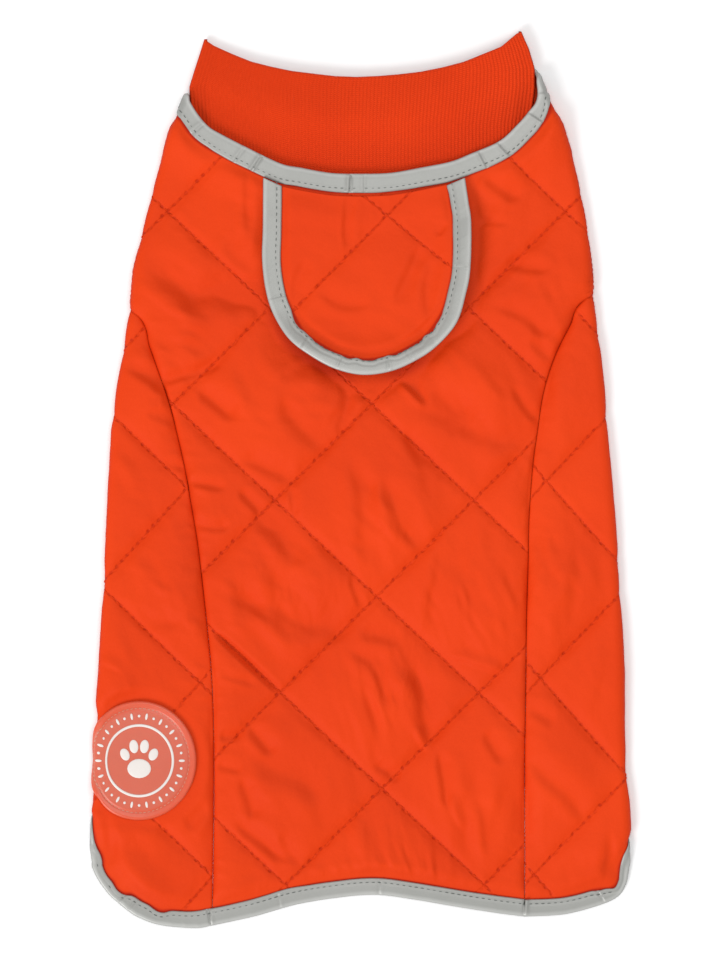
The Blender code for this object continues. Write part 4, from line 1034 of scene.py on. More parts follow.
def tape_path(parts):
    """A binding's edge as runs of points, each in its own chart: the tube's map, or the belly's
    own x and v turned round."""
    paths = []
    for name, direction, chart in parts:
        line = (LINES[name] * MIRROR if chart == "belly" else drawn_on_tube(name))[::direction]
        paths.append((along(line, int(run_along(line)[-1] / TAPE_SPACING) + 2), chart))
    return paths


def to_tube(points, chart):
    """u and v on the tube's map."""
    return points if chart == "tube" else on_map(points * MIRROR)


def pleats_on(path, run, pleats):
    """The pleats whose u lies on this path on top, as distances along it."""
    top = np.abs(fold_turn(*path.T)[-1] - 1) < 0.5
    if not top.any():
        return []
    return [(run[top][np.argmin(np.abs(path[top, 0] - u))], *rest) for u, *rest in pleats]


def tape_piece(name, node, points, maps, ends):
    """A tape from the points and the map of its sections, and the faces that close it."""
    rows, columns = points.shape[:2]
    piece = link(name, points.reshape(-1, 3), quads(rows, columns, around=True) + ends,
                 {"cloth": maps.reshape(-1, 2) * MM}, TAPE_CLOTH)
    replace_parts(piece, node)
    return piece


def uneven_width(width, run):
    """A tape's width along its run."""
    return width + TAPE_WAVE * noise(run / 13.0, 9.0)


def make_tape(name, node, parts, width, pleats):
    """A binding round a whole edge: one section carried along the edge. Returns the piece and the
    edge's length."""
    rings, maps, start = [], [], 0.0
    for path, chart in tape_path(parts):
        run = start + run_along(path)
        start = run[-1]
        folds = pleats_on(path, run, pleats) if chart == "tube" else []
        wide = uneven_width(width, run)
        if chart == "tube":
            wide = wide - narrowing(*path.T)
        section = tape_section(wide, run, folds, TAPE_LIP)
        across = [place(*to_tube(beside(path, step), chart).T, out) for step, out in section]
        rings.append(np.stack(across, axis=1)[:-1])
        steps = np.array([step for step, _ in section]).T
        maps.append(np.stack([np.broadcast_to(run[:, None], steps.shape), steps], axis=-1)[:-1])
    rings = np.vstack(rings)
    return tape_piece(name, node, rings, np.vstack(maps), closing(*rings.shape[:2])), start


def flap_distances(u, v):
    """Distance from the flap's tucked end and from its free edge."""
    tucked = below_neck(np.linspace(-75, 80, 20))
    return nearest(u, v, [tucked]), nearest(u, v, [flap_rim()[0]])


def flap_height(u, v):
    """Height of the flap's underside above the back's inner face: tucked low at the neck tape,
    lying on the padding, and standing up a little at its right and lower edges."""
    to_top, to_free = flap_distances(u, v)
    tuck = FLAP_TUCK + TAPE_LIFT * smooth(1 - to_free / 12.0)
    right_or_low = np.maximum(smooth((u - STANDS_RIGHT[0]) / STANDS_RIGHT[1]),
                              smooth((STANDS_LOW[0] - v) / STANDS_LOW[1]))
    lifted = right_or_low * smooth(1 - to_free / STANDS_IN) * smooth(to_top / STANDS_TOP)
    return tuck + (FLAP_LIE - tuck) * smooth(to_top / FLAP_RISE) + FLAP_LIFT * lifted


def flap_wall(u, v):
    """The flap's thin padding: pressed flat at its edges, and one quilting seam crossing it."""
    to_top, to_free = flap_distances(u, v)
    flat = 1 - smooth((to_free - BED_EDGE) / 6.0)
    a, b = quilt_map(u, v, "flap")
    pillow = pillow_of(a, b) * (0.4 + 0.6 * smooth(to_top / 14.0))
    padded = FLAP_WALL + FLAP_PUFF * pillow * (1 + BILLOW * billow(u, v, 4.0))
    padded = padded - 0.6 * GROOVE_DEPTH * quilting_groove(a, b) + 0.5 * seam_pucker(a, b)
    padded = padded + 0.4 * FOLD_DEPTH * soft_folds(u, v, 2.0) + crease_field(u, v, FLAP_CREASES)
    low = smooth((FLAP_CORNER + 8.0 - v) / 20.0)
    dip = FLAP_DIP * low * hill(to_free - TAPE_WIDTH - 1.5, 2.2)
    return np.maximum(EDGE_WALL * flat + padded * (1 - flat) - dip, LEAST_WALL)


def make_flap():
    """The flap of padded cloth that hangs from under the neck tape over the back."""
    free, top = flap_rim()
    low = free[:, 1] < FLAP_CORNER
    first, last = int(np.argmax(low)), len(free) - int(np.argmax(low[::-1]))
    grid = patch(free[first: last], free[last - 1:], top[::-1], free[: first + 1][::-1],
                 *FLAP_GRID)
    plain = grid[::COARSE, ::COARSE]
    height = flap_height(*split(grid))
    outer = place(*split(grid), height + flap_wall(*split(grid)))
    inner = place(*split(plain), flap_height(*split(plain)))
    to_top, to_free = flap_distances(*split(grid))
    narrow = FLAP_NARROW * smooth((FLAP_LOW - grid[..., 1]) / FLAP_LOW_FADE)
    maps = cloth_maps(grid, "flap", np.minimum(to_free - FLAP_TAPE_WIDTH + narrow, to_top))
    piece = quilted("neck_flap_cloth", "neck_flap", outer, inner, maps)
    thread = quilting_stitches(
        "neck_flap_stitches", "flap", np.vstack([free, top]),
        lambda u, v: (flap_distances(u, v)[1] < TAPE_WIDTH + 1.5) | ((v < 98.0) & (u < 8.0)),
        lambda c: flap_height(*c.T) + flap_wall(*c.T))


def make_flap_tape():
    """The flap's binding: the same section from one end of its free edge to the other, with an
    inner edge that wanders at the bottom. Its two ends are cut along the neck tape."""
    free = flap_rim()[0]
    edge = along(free, int(run_along(free)[-1] / TAPE_SPACING))
    run = run_along(edge)
    inward = beside(edge, 1.0) - edge
    for from_end, way in ((run, FLAP_ENDS[0]), (run[-1] - run, FLAP_ENDS[1])):
        near = (1 - smooth(from_end / 8.0))[:, None]
        inward = inward * (1 - near) + near * np.array(way)
    low = smooth((FLAP_LOW - edge[:, 1]) / FLAP_LOW_FADE)
    wander = noise(run / 5.5, 31.0) - 0.3
    wide = uneven_width(FLAP_TAPE_WIDTH, run) + low * (FLAP_WAVE * wander - FLAP_NARROW)
    folds = [(run[np.argmin(np.hypot(*(edge - (u, v)).T))], depth, lean)
             for u, v, depth, lean in FLAP_PLEATS]
    across, maps = [], []
    for step, out in tape_section(wide, run, folds, TAPE_LIP):
        u, v = (edge + step[:, None] * inward).T
        across.append(place(u, v, flap_height(u, v) + out))
        maps.append(np.column_stack([run, step]))
    rows, columns = len(edge), len(across)
    ends = [list(range(columns))[::-1], list(range((rows - 1) * columns, rows * columns))]
    piece = tape_piece("flap_binding_tape", "flap_binding", np.stack(across, axis=1),
                       np.stack(maps, axis=1), ends)
    threads = tape_stitches("flap_binding_stitches", [(edge[3:-3], "tube")], FLAP_TAPE_WIDTH,
                            flap_height)


# ---------------------------------------------------------------- collar


def collar_grid(fraction, rows, under_side):
    """Points up the collar's cloth at fractions of its width: x, v, height of its middle, and the
    distance from its nearer side."""
    sides = np.array(COLLAR_SIDES)[::-1]
    neck = np.array(NECK_UNDER if under_side else NECK_TOP)
    top = np.array(COLLAR_TOP)
    width_low = sides[0, 1] + fraction * (sides[0, 2] - sides[0, 1])
    width_high = top[0, 0] + fraction * (top[-1, 0] - top[0, 0])
    tucked = np.interp(width_low, neck[:, 0], neck[:, 1]) - COLLAR_TUCK
    from_side = np.minimum(fraction, 1 - fraction) * (sides[0, 2] - sides[0, 1])
    at_side = np.where(fraction < 0.5, *COLLAR_TUCK_SIDE)
    low = at_side + (tucked - at_side) * smooth(from_side / 12.0)
    high = np.interp(width_high, top[:, 0], top[:, 1])
    v = low[None] + rows[:, None] * (high - low)[None]
    left, right = (np.interp(v, sides[:, 0], sides[:, column]) for column in (1, 2))
    x = left + fraction * (right - left)
    chest = np.array(NECK_UNDER)
    past = v - np.interp(x, chest[:, 0], chest[:, 1])
    bed = (UNDER_WALL + TAPE_GAP) * (1 - smooth((past - COLLAR_BED_PAST) / COLLAR_BED_FADE))
    beyond = v - np.interp(x, *np.array(NECK_TOP).T)
    arch = COLLAR_ARCH * (1 - (2 * fraction - 1) ** 2) * smooth((beyond - 4.0) / 30.0)
    return x, v, bed + arch + COLLAR_HALF, np.minimum(x - left, right - x)


def collar_layer(columns, rows, outer):
    """The outer or inner face of the collar's cloth and its flat map: rows up the tube, each over
    the top from left to right and back underneath. The outer one has the ribs, which flatten
    where the top edge turns in, and soft waves."""
    fraction = np.linspace(0, 1, columns + 1)
    around, maps = [], []
    for under_side in (False, True):
        x, v, middle, from_side = collar_grid(fraction, rows, under_side)
        depth = np.clip(from_side / COLLAR_HALF, 0, 1)
        half = (COLLAR_HALF if outer else COLLAR_HOLLOW / 2) * np.sqrt(1 - (1 - depth) ** 2)
        if outer:
            from_top = (1 - rows[:, None]) * COLLAR_HEIGHT
            phase = fraction[None] * RIBS_PER_SIDE * 2 * math.pi
            wander = 0.5 * noise(v / 9.0, x / 7.0)
            rib = (0.5 - 0.5 * np.cos(phase + wander)) ** 0.7 * smooth(from_top / 1.2)
            half = half - RIB_DEPTH * (1 - rib) * depth
            half = half * (0.35 + 0.65 * np.sqrt(1 - np.clip(1 - from_top / 1.6, 0, 1) ** 2))
            half = half + (COLLAR_WAVE * noise(x / 30.0, v / 26.0) - COLLAR_WAVE) * depth
        else:
            x = x + COLLAR_WALL * np.sign(0.5 - fraction) * (np.abs(2 * fraction - 1) > 0.999)
        points = np.stack([x, v, middle + (-half if under_side else half)], axis=-1)
        flat = np.stack([np.broadcast_to((2 * under_side - 1) * fraction * COLLAR_FLAT[0], x.shape),
                         rows[:, None] * COLLAR_FLAT[1] + 0 * x], axis=-1)
        side = slice(None, 0, -1) if under_side else slice(None, -1)
        around.append(points[:, side])
        maps.append(flat[:, side])
    return np.concatenate(around, axis=1), np.concatenate(maps, axis=1)


def make_collar():
    """A ribbed tube pressed flat, from two layers whose rims are joined by a strip."""
    columns = RIBS_PER_SIDE * RIB_COLUMNS
    rows = np.concatenate([np.linspace(0, 0.9, COLLAR_GRID_ROWS), 1 - 0.1 * np.linspace(
        0.75, 0, 9) ** 2])
    outer, outer_map = collar_layer(columns, rows, True)
    inner, inner_map = collar_layer(columns // RIB_COLUMNS, rows, False)
    levels, many, few = outer.shape[0], outer.shape[1], inner.shape[1]
    start = levels * many
    faces = quads(levels, many, around=True) + quads(levels, few, start, around=True, down=True)
    for row, turned in ((0, False), (levels - 1, True)):
        for i in range(few):
            span = [row * many + (i * RIB_COLUMNS + k) % many for k in range(RIB_COLUMNS + 1)]
            face = [*span[::-1], start + row * few + i, start + row * few + (i + 1) % few]
            faces.append(face[::-1] if turned else face)
    points = np.vstack([outer.reshape(-1, 3), inner.reshape(-1, 3)])
    maps = np.vstack([outer_map.reshape(-1, 2), inner_map.reshape(-1, 2)])
    piece = link("collar_knit", points, faces, {"cloth": maps * MM}, KNIT)
    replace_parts(piece, "collar")


# ---------------------------------------------------------------- badge


def badge_level(u, v):
    """Height above the inner face of the cloth under the badge, plus the badge's own gap."""
    return padded_wall(u, v, "left") + BADGE["gap"]


def badge_profile(radius):
    """The rubber's thickness by its distance from the middle: a bead at the rim, a groove where it
    is sewn down, and a low round field inside the ring."""
    from_rim = BADGE["radius"] - radius
    edge = np.sqrt(np.clip(1 - (1 - np.clip(from_rim / 1.2, 0, 1)) ** 2, 0, 1))
    bead = BADGE_BEAD * hill(from_rim - 1.6, 1.1)
    sewn = BADGE_GROOVE * hill(from_rim - BADGE_SEWN_IN, 0.55)
    field = -BADGE_FIELD * smooth((BADGE_RING - 0.6 - radius) / 0.5)
    return (BADGE["wall"] - 0.1) * edge + bead - sewn + field


def badge_across(off):
    """x of a point of the badge: it leans over the coat's side, so its outer part shows narrower."""
    leaning = BADGE_LEAN * np.maximum(-off - BADGE_LEAN_FROM, 0) ** 2
    return BADGE["x"] + BADGE_SPREAD * off + leaning


def disc_points(radius, angle):
    """Map points at distances and angles from the badge's middle."""
    return badge_across(radius * np.cos(angle)), BADGE["v"] + radius * np.sin(angle)


def make_badge():
    """The round badge of rubber and the row of stitches that holds it."""
    radius = np.concatenate([np.linspace(0.4, 30.0, 48), np.linspace(30.4, BADGE["radius"], 18)])
    angle = np.linspace(0, 2 * math.pi, 180, endpoint=False)
    r, turn = np.meshgrid(radius, angle, indexing="ij")
    u, v = disc_points(r, turn)
    level = badge_level(u, v)
    outer = place(u, v, level + badge_profile(r))
    inner = place(u, v, level)
    rows, columns = r.shape
    faces = quads(rows, columns, around=True, down=True)
    faces += quads(rows, columns, rows * columns, around=True)
    ring = np.arange(columns)
    beyond, last, under_it = (ring + 1) % columns, (rows - 1) * columns, rows * columns
    faces += np.column_stack([under_it + last + ring, under_it + last + beyond, last + beyond,
                              last + ring]).tolist()
    faces += [ring.tolist(), (under_it + ring)[::-1].tolist()]
    flat = np.stack([u, v], axis=-1) * MM
    maps = np.vstack([flat.reshape(-1, 2)] * 2)
    points = np.vstack([outer.reshape(-1, 3), inner.reshape(-1, 3)])
    piece = link("badge_rubber", points, faces, {"cloth": maps}, RUBBER)
    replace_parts(piece, "badge")
    sewn = BADGE["radius"] - BADGE_SEWN_IN
    turn = np.arange(0, 2 * math.pi, 2 * math.pi / round(2 * math.pi * sewn / BADGE_STITCH))
    centres = np.column_stack(disc_points(sewn, turn))
    level = badge_level(*centres.T) + badge_profile(sewn + 0 * turn)
    stitches("badge_stitches", centres, np.column_stack([-np.sin(turn), np.cos(turn)]),
             level, "tube", BADGE_STITCH, BADGE_THREAD, PALE_THREAD, "rubber")


def raised_ring(radius, width, height):
    """A closed ring on the badge: a half-round section carried round a circle."""
    angle = np.linspace(0, 2 * math.pi, 180, endpoint=False)
    section = np.radians(np.linspace(-20, 200, 9))
    r = radius + width / 2 * np.cos(section)[None] + 0 * angle[:, None]
    u, v = disc_points(r, angle[:, None])
    top = badge_level(u, v) + badge_profile(r) + height * np.sin(section)[None]
    points = place(u, v, top)
    rows, columns = points.shape[:2]
    return points.reshape(-1, 3), quads(rows, columns, around=True) + closing(rows, columns)


def domes(centres, halves, turns, height):
    """Low oval domes on the badge, all at once: rings that shrink as they rise to the middle."""
    share = np.sin(np.radians(np.array([90, 84, 70, 50, 28, 8])))
    rise = np.cos(np.radians(np.array([90, 84, 70, 50, 28, 8]))) ** 0.8
    rise[0] = -0.6
    angle = np.linspace(0, 2 * math.pi, 20, endpoint=False)
    x = share[:, None] * np.cos(angle)
    y = share[:, None] * np.sin(angle)
    turn = np.radians(turns)[:, None, None]
    x, y = x[None] * halves[:, 0, None, None], y[None] * halves[:, 1, None, None]
    du, dv = x * np.cos(turn) - y * np.sin(turn), x * np.sin(turn) + y * np.cos(turn)
    across, along = centres[:, 0, None, None] + du, centres[:, 1, None, None] + dv
    u, v, r = badge_across(across), BADGE["v"] + along, np.hypot(across, along)
    top = badge_level(u, v) + badge_profile(r) + height * rise[None, :, None]
    points = place(u, v, top)
    count, rows, columns = points.shape[:3]
    faces = []
    for piece in range(count):
        start = piece * rows * columns
        faces += quads(rows, columns, start, around=True)
        faces.append((start + (rows - 1) * columns + np.arange(columns)).tolist())
    return points.reshape(-1, 3), faces


def make_print():
    """Raised white marks on the badge: its round ring, a row of studs, and a plain paw."""
    angle = np.radians(np.arange(0, 360, 360 / BADGE_STUDS))
    studs = BADGE_STUD_RADIUS * np.column_stack([np.cos(angle), np.sin(angle)])
    long_ones = np.arange(BADGE_STUDS) % 2 == 0
    sizes = np.where(long_ones[:, None], *STUD_HALVES)
    paw = np.array(PAW)
    groups = [
        raised_ring(BADGE_RING, RING_WIDTH, RING_RISE),
        domes(studs, sizes, np.degrees(angle), STUD_RISE),
        domes(paw[:, :2], paw[:, 2:4], paw[:, 4], PAW_RISE),
    ]
    points, faces, start = [], [], 0
    for vertices, polygons in groups:
        points.append(vertices)
        faces += [[start + i for i in polygon] for polygon in polygons]
        start += len(vertices)
    points = np.vstack(points)
    return link("badge_print", points, faces, {"cloth": points[:, :2] * MM}, PRINT)


# ---------------------------------------------------------------- stitches


def stitches(name, centres, runs, levels, chart, pitch, thread, material, slot):
    """Stitches as short arched threads, all at once: a few rings along each, thinner at its two
    ends, which go down into the cloth. Centres and runs are on the map."""
    shown, radius, lift = thread
    length = pitch * shown
    t = np.linspace(-1, 1, 5)
    around = np.radians(np.arange(0, 360, 72))
    thin = radius * np.sqrt(np.clip(1.04 - t**2, 0, 1))
    forward = np.broadcast_to(t[:, None] * length / 2, (5, 5))
    aside = thin[:, None] * np.cos(around)
    up = lift * (1 - 1.6 * t[:, None] ** 2) + thin[:, None] * np.sin(around)
    square = to_left(runs)
    points = (centres[:, None, None] + runs[:, None, None] * forward[None, ..., None]
              + square[:, None, None] * aside[None, ..., None])
    u, v = split(to_tube(points.reshape(-1, 2), chart).reshape(points.shape))
    solid = place(u, v, levels[:, None, None] + up[None])
    count = len(centres)
    ring = quads(5, 5, around=True)
    ends = [[4, 3, 2, 1, 0], [20, 21, 22, 23, 24]]
    faces = [[25 * piece + i for i in face] for piece in range(count) for face in ring + ends]
    flat = np.broadcast_to(centres[:, None], (count, 25, 2)).reshape(-1, 2)
    return link(name, solid.reshape(-1, 3), faces, {"cloth": flat * MM}, material)


def spaced(line, pitch):
    """Evenly spaced points along a line, and its direction at each."""
    points = along(line, max(int(run_along(line)[-1] / pitch), 3))
    return points, runs_of(points)


def tape_stitches(name, paths, width, base=None):
    """One row of topstitching near a tape's stitched edge, a piece for each chart."""
    rows = {}
    for path, chart in paths:
        less = narrowing(*path.T) if chart == "tube" and base is None else 0.0
        centres, run = spaced(beside(path, width - TOPSTITCH_IN - less), TOPSTITCH)
        if chart == "tube":
            shows = narrowing(*centres.T) < STITCHES_SHOW
            centres, run = centres[shows], run[shows]
        level = np.full(len(centres), EDGE_WALL + TAPE_LIFT - TAPE_GROOVE + 0.12)
        if base is not None:
            level = level + base(*split(centres))
        rows.setdefault(chart, []).append((centres, run, level))
    return [stitches(f"{name}_{chart}", *map(np.concatenate, zip(*rows[chart])), chart,
                     TOPSTITCH, TAPE_THREAD, GREY_THREAD, "tape") for chart in sorted(rows)]


def quilt_rows(quilt, low, high):
    """Every stitch of a panel's quilting inside a box of the map, and its direction there."""
    q = QUILT[quilt]
    centres, runs = [], []
    fixed, moving = np.meshgrid(np.arange(-6, 7), np.arange(-6, 6, QUILT_STITCH / QUILT_SIDE),
                                indexing="ij")
    for a, b, slope in ((fixed, moving, -1), (moving, fixed, 1)):
        v = q["v"] - (b - a) * q["along"]
        u = q["x"] + q["drift"] * (v - q["v"]) + (a + b) * q["across"]
        way = np.array([q["across"], slope * q["along"]])
        keep = (u > low[0]) & (u < high[0]) & (v > low[1]) & (v < high[1])
        centres.append(np.column_stack([u[keep], v[keep]]))
        runs.append(np.broadcast_to(way / np.hypot(*way), (keep.sum(), 2)))
    centres, runs = np.vstack(centres), np.vstack(runs)
    # the thread lies a little askew from one needle hole to the next
    askew = SKEW * noise(centres[:, 0] / 1.7, centres[:, 1] / 1.7)
    turned = runs + askew[:, None] * to_left(runs)
    return centres, turned / np.hypot(*turned.T)[:, None]


def quilting_stitches(name, quilt, rim, covered, level, chart="tube"):
    """The quilting thread of one panel, clear of its tapes, seams and of what lies on it."""
    centres, runs = quilt_rows(quilt, rim.min(0), rim.max(0))
    tube = to_tube(centres, chart)
    keep = inside(centres, rim) & (from_field(FIELDS["bound"], *tube.T) > TAPE_WIDTH + 1.0)
    keep &= (nearest(*tube.T, SEAMS) > 1.5) & (covered(*tube.T) < 0.5)
    centres, runs = centres[keep], runs[keep]
    return stitches(name, centres, runs, level(centres) + 0.05, chart, QUILT_STITCH,
                    QUILT_THREAD, ORANGE_THREAD, "shell")


# ---------------------------------------------------------------- finishes


def join(tree, socket, value):
    """Links a socket to another's output, or sets it to a constant."""
    if hasattr(value, "is_output"):
        tree.links.new(value, socket)
    else:
        socket.default_value = value


def node_of(tree, kind, values, **settings):
    """A shader node with its settings, and its inputs by name or number."""
    node = tree.nodes.new("ShaderNode" + kind)
    for label, value in settings.items():
        setattr(node, label, value)
    for label, value in values.items():
        join(tree, node.inputs[label], value)
    return node


def math_node(tree, how, *values, clamp=False):
    """The output of a Math node, whose inputs are sockets or numbers."""
    return node_of(tree, "Math", dict(enumerate(values)), operation=how, use_clamp=clamp).outputs[0]


def times_plus(tree, value, times, plus, clamp=False):
    return math_node(tree, "MULTIPLY_ADD", value, times, plus, clamp=clamp)


def noise_node(tree, vector, scale, detail=2.0, rough=0.5):
    return node_of(tree, "TexNoise", {"Scale": scale, "Detail": detail, "Roughness": rough,
                                      "Vector": vector}).outputs["Fac"]


def axes_of(tree, vector):
    """The x, y and z outputs of a vector."""
    return node_of(tree, "SeparateXYZ", {0: vector}).outputs


def fade(tree, value, low, high):
    """1 below low, 0 above high, and a soft S between."""
    return node_of(tree, "MapRange", {"Value": value, "From Min": low, "From Max": high,
                                      "To Min": 1.0, "To Max": 0.0},
                   interpolation_type="SMOOTHSTEP").outputs["Result"]


def blend(tree, share, colour, other):
    """A colour mixed with a share of another."""
    return node_of(tree, "Mix", {"Factor": share, "A": colour, "B": other},
                   data_type="RGBA").outputs["Result"]


def group(name, inputs, outputs):
    """An empty shader group with named inputs, which are (name, kind, value), and outputs."""
    tree = bpy.data.node_groups.new(name, "ShaderNodeTree")
    for label, kind, value in inputs:
        made = tree.interface.new_socket(label, in_out="INPUT", socket_type="NodeSocket" + kind)
        if value is not None:
            made.default_value = value
    for label, kind in outputs:
        tree.interface.new_socket(label, in_out="OUTPUT", socket_type="NodeSocket" + kind)
    given, out = tree.nodes.new("NodeGroupInput"), tree.nodes.new("NodeGroupOutput")
    return tree, given.outputs, out.inputs


def weave_group():
    """Plain weave: rows of threads over and under, their height from two crossed waves."""
    tree, given, out = group(
        "plain_weave", [("Cloth", "Vector", None), ("Threads per metre", "Float", 2500.0)],
        [("Height", "Float")])
    waves = []
    for axis in axes_of(tree, given["Cloth"])[:2]:
        turns = math_node(tree, "MULTIPLY", axis, given["Threads per metre"])
        waves.append(math_node(tree, "SINE", math_node(tree, "MULTIPLY", turns, 2 * math.pi)))
    product = math_node(tree, "MULTIPLY", *waves)
    join(tree, out["Height"], times_plus(tree, product, 0.5, 0.5))
    return tree


def knit_group():
    """Rib knit: small stitches stacked up each rib, each a bump that leans to its rib's middle."""
    tree, given, out = group(
        "knit_stitches", [("Cloth", "Vector", None), ("Ribs per metre", "Float", 500.0),
                          ("Rows per metre", "Float", 900.0)], [("Height", "Float")])
    x, y = axes_of(tree, given["Cloth"])[:2]
    across = math_node(tree, "MULTIPLY", x, given["Ribs per metre"])
    across = math_node(tree, "PINGPONG", across, 0.5)
    up = math_node(tree, "MULTIPLY", y, given["Rows per metre"])
    lean = times_plus(tree, across, 1.2, up)
    wave = math_node(tree, "SINE", math_node(tree, "MULTIPLY", lean, 2 * math.pi))
    join(tree, out["Height"], times_plus(tree, wave, 0.5, 0.5))
    return tree


def tint_group():
    """Uneven colour: soft patches and fine flecks between a darker and a lighter shade."""
    tree, given, out = group(
        "uneven_colour", [("Place", "Vector", None), ("Dark", "Color", None),
                          ("Light", "Color", None), ("Fleck", "Float", 0.3)],
        [("Colour", "Color")])
    patches = noise_node(tree, given["Place"], PATCHES, 3.0)
    flecks = noise_node(tree, given["Place"], FLECKS, 1.0)
    flecks = times_plus(tree, flecks, given["Fleck"], patches)
    share = node_of(tree, "MapRange", {"Value": flecks, "From Min": 0.3, "From Max": 0.95})
    join(tree, out["Colour"], blend(tree, share.outputs["Result"], given["Dark"], given["Light"]))
    return tree


def hole_group():
    """Needle holes along quilting seams: 1 in each hole, 0 elsewhere. Off is in counts of seams
    across, and Run the same along. The holes stray a little to both sides, and some are faint."""
    tree, given, out = group("needle_holes", [("Off", "Float", None), ("Run", "Float", None)],
                             [("Hole", "Float"), ("Pull", "Float")])
    spot = node_of(tree, "CombineXYZ", {"X": given["Off"], "Y": given["Run"]}).outputs[0]
    uneven = noise_node(tree, spot, 0.9 * QUILT_SIDE / QUILT_STITCH, 1.0)
    off = times_plus(tree, uneven, 2 * HOLE_STRAY / QUILT_SIDE, -HOLE_STRAY / QUILT_SIDE)
    off = math_node(tree, "ADD", given["Off"], off)
    gap = math_node(tree, "MULTIPLY", math_node(tree, "PINGPONG", off, 0.5), QUILT_SIDE)
    run = times_plus(tree, given["Run"], QUILT_SIDE / QUILT_STITCH, 0.5)
    run = math_node(tree, "PINGPONG", run, 0.5)
    run = math_node(tree, "MULTIPLY", run, HOLE_ROUND * QUILT_STITCH)
    far = math_node(tree, "SQRT", math_node(tree, "ADD", math_node(tree, "POWER", gap, 2.0),
                                            math_node(tree, "POWER", run, 2.0)))
    weight = times_plus(tree, uneven, 3.0, -0.8, clamp=True)
    join(tree, out["Hole"], math_node(tree, "MULTIPLY", fade(tree, far, *HOLE_EDGE), weight))
    join(tree, out["Pull"], fade(tree, gap, 0.0, HOLE_PULL))
    return tree


GROUPS = {"weave": weave_group(), "knit": knit_group(), "tint": tint_group(),
          "holes": hole_group()}


def finish_of(name, rough, **settings):
    """A material with its shader, and constants set on the shader's own sockets."""
    material = bpy.data.materials.new(name)
    material.use_nodes = True
    tree = material.node_tree
    shader = tree.nodes["Principled BSDF"]
    shader.inputs["Roughness"].default_value = rough
    for label, value in settings.items():
        shader.inputs[label.replace("_", " ")].default_value = value
    return material, tree, shader


def placed(tree, kind, **values):
    """The outputs of a group in a material, its inputs given as sockets or constants."""
    return node_of(tree, "Group", values, node_tree=GROUPS[kind]).outputs


def uv_of(tree, name):
    return node_of(tree, "UVMap", {}, uv_map=name).outputs["UV"]


def at_object(tree):
    return tree.nodes.new("ShaderNodeTexCoord").outputs["Object"]


def tinted(tree, dark, light, fleck):
    """The uneven colour of a piece, from its darker and lighter shade."""
    return placed(tree, "tint", Place=at_object(tree), Dark=(*dark, 1), Light=(*light, 1),
                  Fleck=fleck)["Colour"]


def bumped(tree, shader, *layers):
    """Bump nodes in a chain to the shader's normal, from (height, strength, distance in mm)."""
    normal = {}
    for height, strength, depth in layers:
        node = node_of(tree, "Bump", {"Strength": strength, "Distance": depth * MM,
                                      "Height": height, **normal})
        normal = {"Normal": node.outputs["Normal"]}
    join(tree, shader.inputs["Normal"], normal["Normal"])


def coloured(tree, shader, colour, deep=None, share=0.0):
    """Gives a shader its colour, with painted shade: nearer to the deep one by a share where the
    cloth turns away from the eye."""
    if deep is not None:
        facing = node_of(tree, "LayerWeight", {"Blend": 0.5}).outputs["Facing"]
        turned = math_node(tree, "MULTIPLY", math_node(tree, "POWER", facing, 2.2), share,
                           clamp=True)
        colour = blend(tree, turned, colour, (*deep, 1))
    join(tree, shader.inputs["Base Color"], colour)


def shell_cloth():
    """Woven orange polyester, with painted shade in the needle holes along its quilting, beside the
    tapes, close below the flap and where the cloth turns away from the eye."""
    material, tree, shader = finish_of("orange_shell", SHELL_ROUGH, Specular_IOR_Level=0.12)
    a, b = axes_of(tree, uv_of(tree, "quilt"))[:2]
    one, other = placed(tree, "holes", Off=a, Run=b), placed(tree, "holes", Off=b, Run=a)
    hole, pull = (math_node(tree, "MAXIMUM", one[kind], other[kind]) for kind in ("Hole", "Pull"))
    from_tape, by_flap = axes_of(tree, uv_of(tree, "border"))[:2]
    # painted shade along each tape's stitched edge
    near = times_plus(tree, from_tape, -1 / BORDER_SHADE, 1.0, clamp=True)
    dark = math_node(tree, "MULTIPLY", math_node(tree, "POWER", near, 1.5), 0.85)
    # painted shade in the needle holes and close below the flap
    for shaded, share in ((by_flap, 0.5), (hole, 0.62)):
        dark = math_node(tree, "MAXIMUM", math_node(tree, "MULTIPLY", shaded, share), dark)
    colour = tinted(tree, SHELL_DARK, SHELL_LIGHT, 0.25)
    # painted shade where the cloth turns away from the eye
    coloured(tree, shader, blend(tree, dark, colour, (*SHELL_PAINTED_SHADE, 1)), SHELL_PAINTED_SHADE, 0.9)
    weave = placed(tree, "weave", Cloth=uv_of(tree, "cloth"))["Height"]
    crinkle = noise_node(tree, at_object(tree), 160.0, 3.0, 0.6)
    sunk = math_node(tree, "MULTIPLY", math_node(tree, "ADD", hole, pull), -1.0)
    bumped(tree, shader, (weave, 0.25, 0.08), (crinkle, 0.35, 0.9), (sunk, 0.6, 0.5))
    return material


def knit_cloth():
    """Orange rib knit, with painted shade between its stitches and low down, where the neck tape
    shades it.
    """
    material, tree, shader = finish_of("orange_rib_knit", 0.9, Specular_IOR_Level=0.1)
    cloth = uv_of(tree, "cloth")
    knit = placed(tree, "knit", Cloth=cloth)["Height"]
    # painted shadow of the neck tape on the collar, low down
    low = times_plus(tree, axes_of(tree, cloth)[1], -40.0, 1.4, clamp=True)
    # painted shade between the stitches
    hidden = times_plus(tree, knit, -0.30, 0.30)
    shade = times_plus(tree, low, KNIT_SHADE, hidden, clamp=True)
    colour = blend(tree, shade, tinted(tree, KNIT_DARK, KNIT_LIGHT, 0.5), (*KNIT_DEEP, 1))
    # painted shade where the knit turns away from the eye
    coloured(tree, shader, colour, KNIT_DEEP, 0.8)
    fuzz = noise_node(tree, at_object(tree), 1300.0)
    bumped(tree, shader, (knit, 0.9, 0.3), (fuzz, 0.5, 0.2))
    return material


